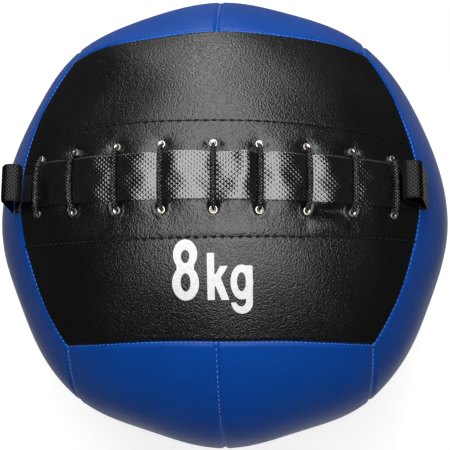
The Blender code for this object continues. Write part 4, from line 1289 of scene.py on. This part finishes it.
def loop_line():
    """The middle of the webbing from the seam round the crest and back, as (along, aside)."""
    half = WEBBING_THICKNESS / 2
    crest = LOOP_CREST_RADIUS - half
    neck = half + FIT_GAP / 2
    reach = LOOP_LENGTH - LOOP_CREST_RADIUS
    lean = math.asin((crest - neck) / reach)
    side = (LOOP_SIDE_SHARE * reach, LOOP_SIDE_SHARE * crest + neck / 2)
    points = [(-neck / 2, neck), side]
    for angle in np.linspace(math.pi / 2 + lean, -math.pi / 2 - lean, LOOP_CREST_POINTS):
        points.append((reach + crest * math.cos(angle), crest * math.sin(angle)))
    points += [(side[0], -side[1]), (-neck / 2, -neck)]
    return np.array([(a, b, 0.0) for a, b in points])


webbing, tree, shader = new_finish("ribbed_nylon_webbing")
weave, _ = woven_height(tree, RIB_PITCH, PICK_PITCH)
# Raised ribs painted lighter and brownish as painted highlights, grooves near black as painted shade.
stops = [(0.0, hex_colour("#020202")), (0.6, hex_colour("#080706")), (1.0, hex_colour("#16130f"))]
tone = node(tree, "ShaderNodeValToRGB", {"Fac": weave}, stops=stops)
tree.links.new(tone.outputs["Color"], shader.inputs["Base Color"])
bump = node(tree, "ShaderNodeBump", {"Height": weave, "Distance": RIB_DEPTH, "Strength": 1.0})
tree.links.new(bump.outputs["Normal"], shader.inputs["Normal"])
shader.inputs["Roughness"].default_value = 0.28
shader.inputs["Specular IOR Level"].default_value = 0.42

for side, hand in ((-1, "left"), (1, "right")):
    seat = LoopSeat(side)
    hinge = seat.point(-TAIL_SPACE, 0, HINGE_RISE)
    angle = LOOP_ANGLES[side]
    along = seat.inward * math.cos(angle) + seat.out * math.sin(angle)
    aside = seat.out * math.cos(angle) - seat.inward * math.sin(angle)
    flat_line = smooth_line(loop_line(), WEBBING_STEP)
    line = np.array(hinge) + flat_line[:, :1] * np.array(along) + flat_line[:, 1:2] * np.array(aside)
    tangents = unit(np.gradient(line, axis=0))
    normals = unit(np.cross(tangents, np.array(seat.level)))
    name = f"webbing_loop_{hand}"
    mesh = webbing_strip(name, line, normals, seat.level)
    add_piece(name, mesh, webbing, body=f"loop_{hand}", replaced=[f"pull_loop_{hand}"])
    plies = []
    for ply in (-1, 1):
        inward = -FIT_GAP - WEBBING_THICKNESS + ply * WEBBING_THICKNESS / 2
        heights = np.linspace(-TAIL_DEPTH, TAIL_RISE, TAIL_STEPS)
        line = np.array([seat.point(inward, 0, out) for out in heights])
        normals = np.tile(np.array(seat.inward), (TAIL_STEPS, 1))
        plies.append(webbing_strip("tail_ply", line, normals, seat.level))
    both = bmesh.new()
    for ply in plies:
        both.from_mesh(ply)
    mesh = bpy.data.meshes.new(f"webbing_tail_{hand}")
    both.to_mesh(mesh)
    both.free()
    add_piece(f"webbing_tail_{hand}", mesh, webbing, replaced=[f"loop_tail_{hand}"])


# The weight mark: white screen ink, printed flat on the lower half of the panel in plain
# condensed figures and letters. It is a flat satin white, thin enough for the leather's grain to
# show through, and its cells are the leather's.

INK_RISE = 0.00016
INK_STEP = 0.0006
INK_GRAIN_DEPTH = 0.00008
INK_MERGE_SCALE = 1e7

# A round is given by its middle and its two radii, and a bar by its corners.

EIGHT_BOWLS = (((-0.0186, -0.0560), (0.0079, 0.0092)), ((-0.0186, -0.0735), (0.0088, 0.0106)))
EIGHT_HOLES = (((-0.0186, -0.0573), (0.0028, 0.0041)), ((-0.0186, -0.0731), (0.0033, 0.0056)))
EIGHT_WAIST = ((-0.0243, -0.0600), (-0.0129, -0.0600), (-0.0129, -0.0690), (-0.0243, -0.0690))
K_STEM = ((-0.0045, -0.0554), (0.0002, -0.0554), (0.0002, -0.0840), (-0.0045, -0.0840))
K_ARM = ((0.0039, -0.0634), (0.0091, -0.0634), (0.0002, -0.0764), (-0.0006, -0.0710))
K_LEG = ((0.0015, -0.0700), (0.0045, -0.0712), (0.0096, -0.0840), (0.0045, -0.0840), (0.0010, -0.0760))
G_BOWL = ((0.0178, -0.0731), (0.0073, 0.0106))
G_BOWL_HOLE = ((0.0176, -0.0730), (0.0029, 0.0058))
G_STEM = ((0.0203, -0.0630), (0.0248, -0.0630), (0.0248, -0.0862), (0.0203, -0.0862))
G_HOOK = ((0.0178, -0.0856), (0.0070, 0.0067))
G_HOOK_HOLE = ((0.0172, -0.0852), (0.0031, 0.0028))
G_HOOK_HALF = ((0.0105, -0.0856), (0.0250, -0.0856), (0.0250, -0.0940), (0.0105, -0.0940))


def ellipse(x, y, middle, radii):
    """Positive inside an ellipse, about in metres."""
    spread_out = np.hypot((x - middle[0]) / radii[0], (y - middle[1]) / radii[1])
    return (1 - spread_out) * min(radii)


def bar(x, y, corners):
    """Positive inside a convex outline whose corners run clockwise."""
    inside = np.full_like(x, 1.0)
    for (ax, ay), (bx, by) in zip(corners, corners[1:] + corners[:1]):
        length = math.hypot(bx - ax, by - ay)
        inside = np.minimum(inside, ((x - ax) * (by - ay) - (y - ay) * (bx - ax)) / length)
    return inside


def figure_eight(x, y):
    top, low = (ellipse(x, y, *bowl) for bowl in EIGHT_BOWLS)
    top_hole, low_hole = (ellipse(x, y, *hole) for hole in EIGHT_HOLES)
    filled = np.maximum(np.maximum(top, low), bar(x, y, EIGHT_WAIST))
    return np.minimum(filled, -np.maximum(top_hole, low_hole))


def letter_k(x, y):
    stem, arm, leg = (bar(x, y, corners) for corners in (K_STEM, K_ARM, K_LEG))
    return np.maximum(np.maximum(stem, arm), leg)


def letter_g(x, y):
    bowl = np.minimum(ellipse(x, y, *G_BOWL), -ellipse(x, y, *G_BOWL_HOLE))
    hook = np.minimum(ellipse(x, y, *G_HOOK), -ellipse(x, y, *G_HOOK_HOLE))
    hook = np.minimum(hook, bar(x, y, G_HOOK_HALF))
    return np.maximum(np.maximum(bowl, bar(x, y, G_STEM)), hook)


def inked_mesh(name, shape, low, high):
    """A thin layer of ink in the shape's outline, laid on the leather."""
    xs = np.arange(low[0], high[0], INK_STEP)
    ys = np.arange(low[1], high[1], INK_STEP)
    grid_x, grid_y = np.meshgrid(xs, ys)
    inside = shape(grid_x, grid_y)
    flat = bmesh.new()
    known = {}

    def corner(x, y):
        key = (round(x * INK_MERGE_SCALE), round(y * INK_MERGE_SCALE))
        if key not in known:
            known[key] = flat.verts.new((x, y, 0))
        return known[key]

    for i in range(len(ys) - 1):
        for j in range(len(xs) - 1):
            ring = [(i, j), (i, j + 1), (i + 1, j + 1), (i + 1, j)]
            if max(inside[place] for place in ring) <= 0:
                continue
            outline = []
            for (a, b), (c, d) in zip(ring, ring[1:] + ring[:1]):
                here, there = inside[a, b], inside[c, d]
                if here > 0:
                    outline.append(corner(xs[b], ys[a]))
                if (here > 0) != (there > 0):
                    share = here / (here - there)
                    outline.append(corner(xs[b] + (xs[d] - xs[b]) * share, ys[a] + (ys[c] - ys[a]) * share))
            outline = list(dict.fromkeys(outline))
            if len(outline) > 2 and not flat.faces.get(outline):
                flat.faces.new(outline)
    flat.verts.index_update()
    places = np.array([vertex.co[:2] for vertex in flat.verts])
    directions = on_ball(places[:, 0] / BALL_RADIUS, places[:, 1] / BALL_RADIUS)
    points = skin(directions, front_rise(directions) + INK_RISE)
    under = skin(directions, front_rise(directions) - INK_RISE)
    faces = [[vertex.index for vertex in face.verts] for face in flat.faces]
    rim = [edge.link_loops[0] for edge in flat.edges if edge.is_boundary]
    rim = [(loop.vert.index, loop.link_loop_next.vert.index) for loop in rim]
    flat.free()
    count = len(points)
    walls = [(b, a, a + count, b + count) for a, b in rim]
    faces += [[k + count for k in reversed(face)] for face in faces] + [list(wall) for wall in walls]
    mesh = bpy.data.meshes.new(name)
    mesh.from_pydata(np.concatenate([points, under]).tolist(), [], faces)
    mesh.shade_smooth()
    mesh.set_sharp_from_angle(angle=math.radians(50))
    return mesh


white_ink, tree, shader = new_finish("white_screen_ink")
place = node(tree, "ShaderNodeTexCoord").outputs["Object"]
repeats = {"Vector": place, "Scale": 1 / GRAIN_SIZE, "Smoothness": GRAIN_SMOOTHNESS}
distance = node(tree, "ShaderNodeTexVoronoi", repeats, feature="SMOOTH_F1").outputs["Distance"]
stops = [(0.3, hex_colour("#fbfbfa")), (0.9, hex_colour("#e4e5e6"))]
tone = node(tree, "ShaderNodeValToRGB", {"Fac": distance}, stops=stops)
tree.links.new(tone.outputs["Color"], shader.inputs["Base Color"])
bump = node(tree, "ShaderNodeBump", {"Height": distance, "Distance": INK_GRAIN_DEPTH}, invert=True)
tree.links.new(bump.outputs["Normal"], shader.inputs["Normal"])
shader.inputs["Roughness"].default_value = 0.5

MARKS = (
    ("figure_eight", figure_eight, (-0.030, -0.088), (-0.007, -0.043)),
    ("letter_k", letter_k, (-0.007, -0.088), (0.0101, -0.052)),
    ("letter_g", letter_g, (0.008, -0.096), (0.028, -0.058)),
)
for name, shape, low, high in MARKS:
    mesh = inked_mesh(f"ink_{name}", shape, low, high)
    add_piece(f"ink_{name}", mesh, white_ink)


# Inside, out of sight: foam behind each panel and behind the mouth, a cotton liner, packed
# shredded textile, and a canvas bag of sand at the middle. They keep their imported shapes. All are
# dull, and each has the cells, threads or shreds of its own stuff, at about their real size.

FOAM_CELL = 0.0012
COTTON_THREAD = 0.0009
TEXTILE_SHRED = 0.0045
CANVAS_THREAD = 0.0015


def inner_stuff(name, dark, light, pitch, roughness):
    """Cloth or foam seen close: its threads or cells, in two near tones."""
    finish, tree, shader = new_finish(name)
    place = node(tree, "ShaderNodeTexCoord").outputs["Object"]
    cells = node(tree, "ShaderNodeTexVoronoi", {"Vector": place, "Scale": 1 / pitch})
    distance = cells.outputs["Distance"]
    tone = node(tree, "ShaderNodeValToRGB", {"Fac": distance}, stops=[(0.1, light), (0.8, dark)])
    tree.links.new(tone.outputs["Color"], shader.inputs["Base Color"])
    bump = node(tree, "ShaderNodeBump", {"Height": distance, "Distance": pitch / 5}, invert=True)
    tree.links.new(bump.outputs["Normal"], shader.inputs["Normal"])
    shader.inputs["Roughness"].default_value = roughness
    return finish


INNER_STUFFS = (
    ("foam_", "closed_cell_foam", "#3c3e40", "#56595b", FOAM_CELL, 0.9),
    # The foam behind the mouth is nearly black: painted shade for the gap under the strip.
    ("closure_tongue", "foam_darkened_as_shade", "#0d0d0e", "#1a1b1c", FOAM_CELL, 0.9),
    ("inner_liner", "cotton_liner", "#a39b8a", "#c9c2b2", COTTON_THREAD, 0.95),
    ("fill_", "shredded_textile", "#6b6763", "#b0aaa2", TEXTILE_SHRED, 1.0),
    ("sand_bag", "canvas_bag", "#8c8472", "#aea68f", CANVAS_THREAD, 0.95),
)
for start, stuff, dark, light, pitch, roughness in INNER_STUFFS:
    finish = inner_stuff(stuff, hex_colour(dark), hex_colour(light), pitch, roughness)
    for name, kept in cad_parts.items():
        if name.startswith(start):
            kept.data.materials.clear()
            kept.data.materials.append(finish)


# The floor is a pale matt table top, round and plain, on which the ball's shadow lies. It glows a
# little to the camera, so that it reads nearly white, and only faintly in what mirrors it. The
# daylight is white to the camera alone, because the black leather's sides mirror hardly any.

FLOOR_RADIUS = 0.28
FLOOR_SIDES = 96
FLOOR_GLOW = 0.62
FLOOR_MIRRORED = 0.2
FLOOR_MOTTLE = 0.18
DAYLIGHT_STRENGTH = 0.03
floor_mesh = bpy.data.meshes.new("floor")
floor_disc = bmesh.new()
bmesh.ops.create_circle(floor_disc, cap_ends=True, radius=FLOOR_RADIUS, segments=FLOOR_SIDES)
floor_disc.to_mesh(floor_mesh)
floor_disc.free()
floor_finish, tree, shader = new_finish("pale_floor")
shader.inputs["Roughness"].default_value = 0.9
shader.inputs["Specular IOR Level"].default_value = 0.1
place = node(tree, "ShaderNodeTexCoord").outputs["Object"]
tint = node(tree, "ShaderNodeTexNoise", {"Vector": place, "Scale": 1 / FLOOR_MOTTLE})
stops = [(0.0, hex_colour("#c8c8c8")), (1.0, hex_colour("#cecece"))]
tone = node(tree, "ShaderNodeValToRGB", {"Fac": tint.outputs["Fac"]}, stops=stops)
tree.links.new(tone.outputs["Color"], shader.inputs["Base Color"])
rays = node(tree, "ShaderNodeLightPath").outputs
glossy = node(tree, "ShaderNodeMath", {0: rays["Is Glossy Ray"], 1: FLOOR_MIRRORED}, operation="MULTIPLY")
seen = node(tree, "ShaderNodeMath", {0: rays["Is Camera Ray"], 1: glossy.outputs[0]}, operation="MAXIMUM")
seen = node(tree, "ShaderNodeMath", {0: seen.outputs[0], 1: rays["Is Transmission Ray"]}, operation="MAXIMUM")
glow = node(tree, "ShaderNodeMath", {0: seen.outputs[0], 1: FLOOR_GLOW}, operation="MULTIPLY")
shader.inputs["Emission Color"].default_value = (1, 1, 1, 1)
tree.links.new(glow.outputs[0], shader.inputs["Emission Strength"])
floor_mesh.materials.append(floor_finish)
floor = bpy.data.objects.new("floor", floor_mesh)
bpy.context.scene.collection.objects.link(floor)

daylight = bpy.data.worlds.new("daylight")
daylight.use_nodes = True
tree = daylight.node_tree
rays = node(tree, "ShaderNodeLightPath").outputs
ends = {"To Min": DAYLIGHT_STRENGTH, "To Max": 1.0}
strength = node(tree, "ShaderNodeMapRange", {"Value": rays["Is Camera Ray"], **ends})
background = tree.nodes["Background"]
background.inputs["Color"].default_value = (1, 1, 1, 1)
tree.links.new(strength.outputs[0], background.inputs["Strength"])
bpy.context.scene.world = daylight


# Three soft boxes stand in a tall arc over the ball, all equally far off: broad in front, near
# the camera, and narrow at the ball's top. Each row gives where a box stands as the camera sees
# it (right, up and back), its width and height in metres, and its power in watts.

SOFT_BOX_DISTANCE = 1.6
SOFT_BOX_UPRIGHT = (-0.12, 0.99, 0.0)
SOFT_BOXES = (
    ("top_soft_box", (-0.08, 0.99, 0.12), 0.56, 1.29, 8.0),
    ("middle_soft_box", (-0.09, 0.66, 0.75), 1.25, 1.23, 13.0),
    ("front_soft_box", (0.05, -0.06, 0.99), 1.70, 1.45, 20.0),
)


def soft_box(name, toward, upright, width, height, power):
    """A soft box that lights the ball from a direction, with its height along upright."""
    data = bpy.data.lights.new(name, "AREA")
    data.shape = "RECTANGLE"
    data.size = width
    data.size_y = height
    data.energy = power
    lamp = bpy.data.objects.new(name, data)
    bpy.context.scene.collection.objects.link(lamp)
    back = Vector(toward).normalized()
    right = upright.cross(back).normalized()
    lamp.matrix_world = looking(
        right, back.cross(right), back, Vector(BALL_MIDDLE) + back * SOFT_BOX_DISTANCE
    )


def seen_direction(right, up, back):
    """A direction given as the camera sees it."""
    return CAMERA_RIGHT * right + CAMERA_UP * up + CAMERA_BACK * back


for name, toward, width, height, power in SOFT_BOXES:
    soft_box(name, seen_direction(*toward), seen_direction(*SOFT_BOX_UPRIGHT), width, height, power)

bpy.context.scene.view_settings.view_transform = "Standard"
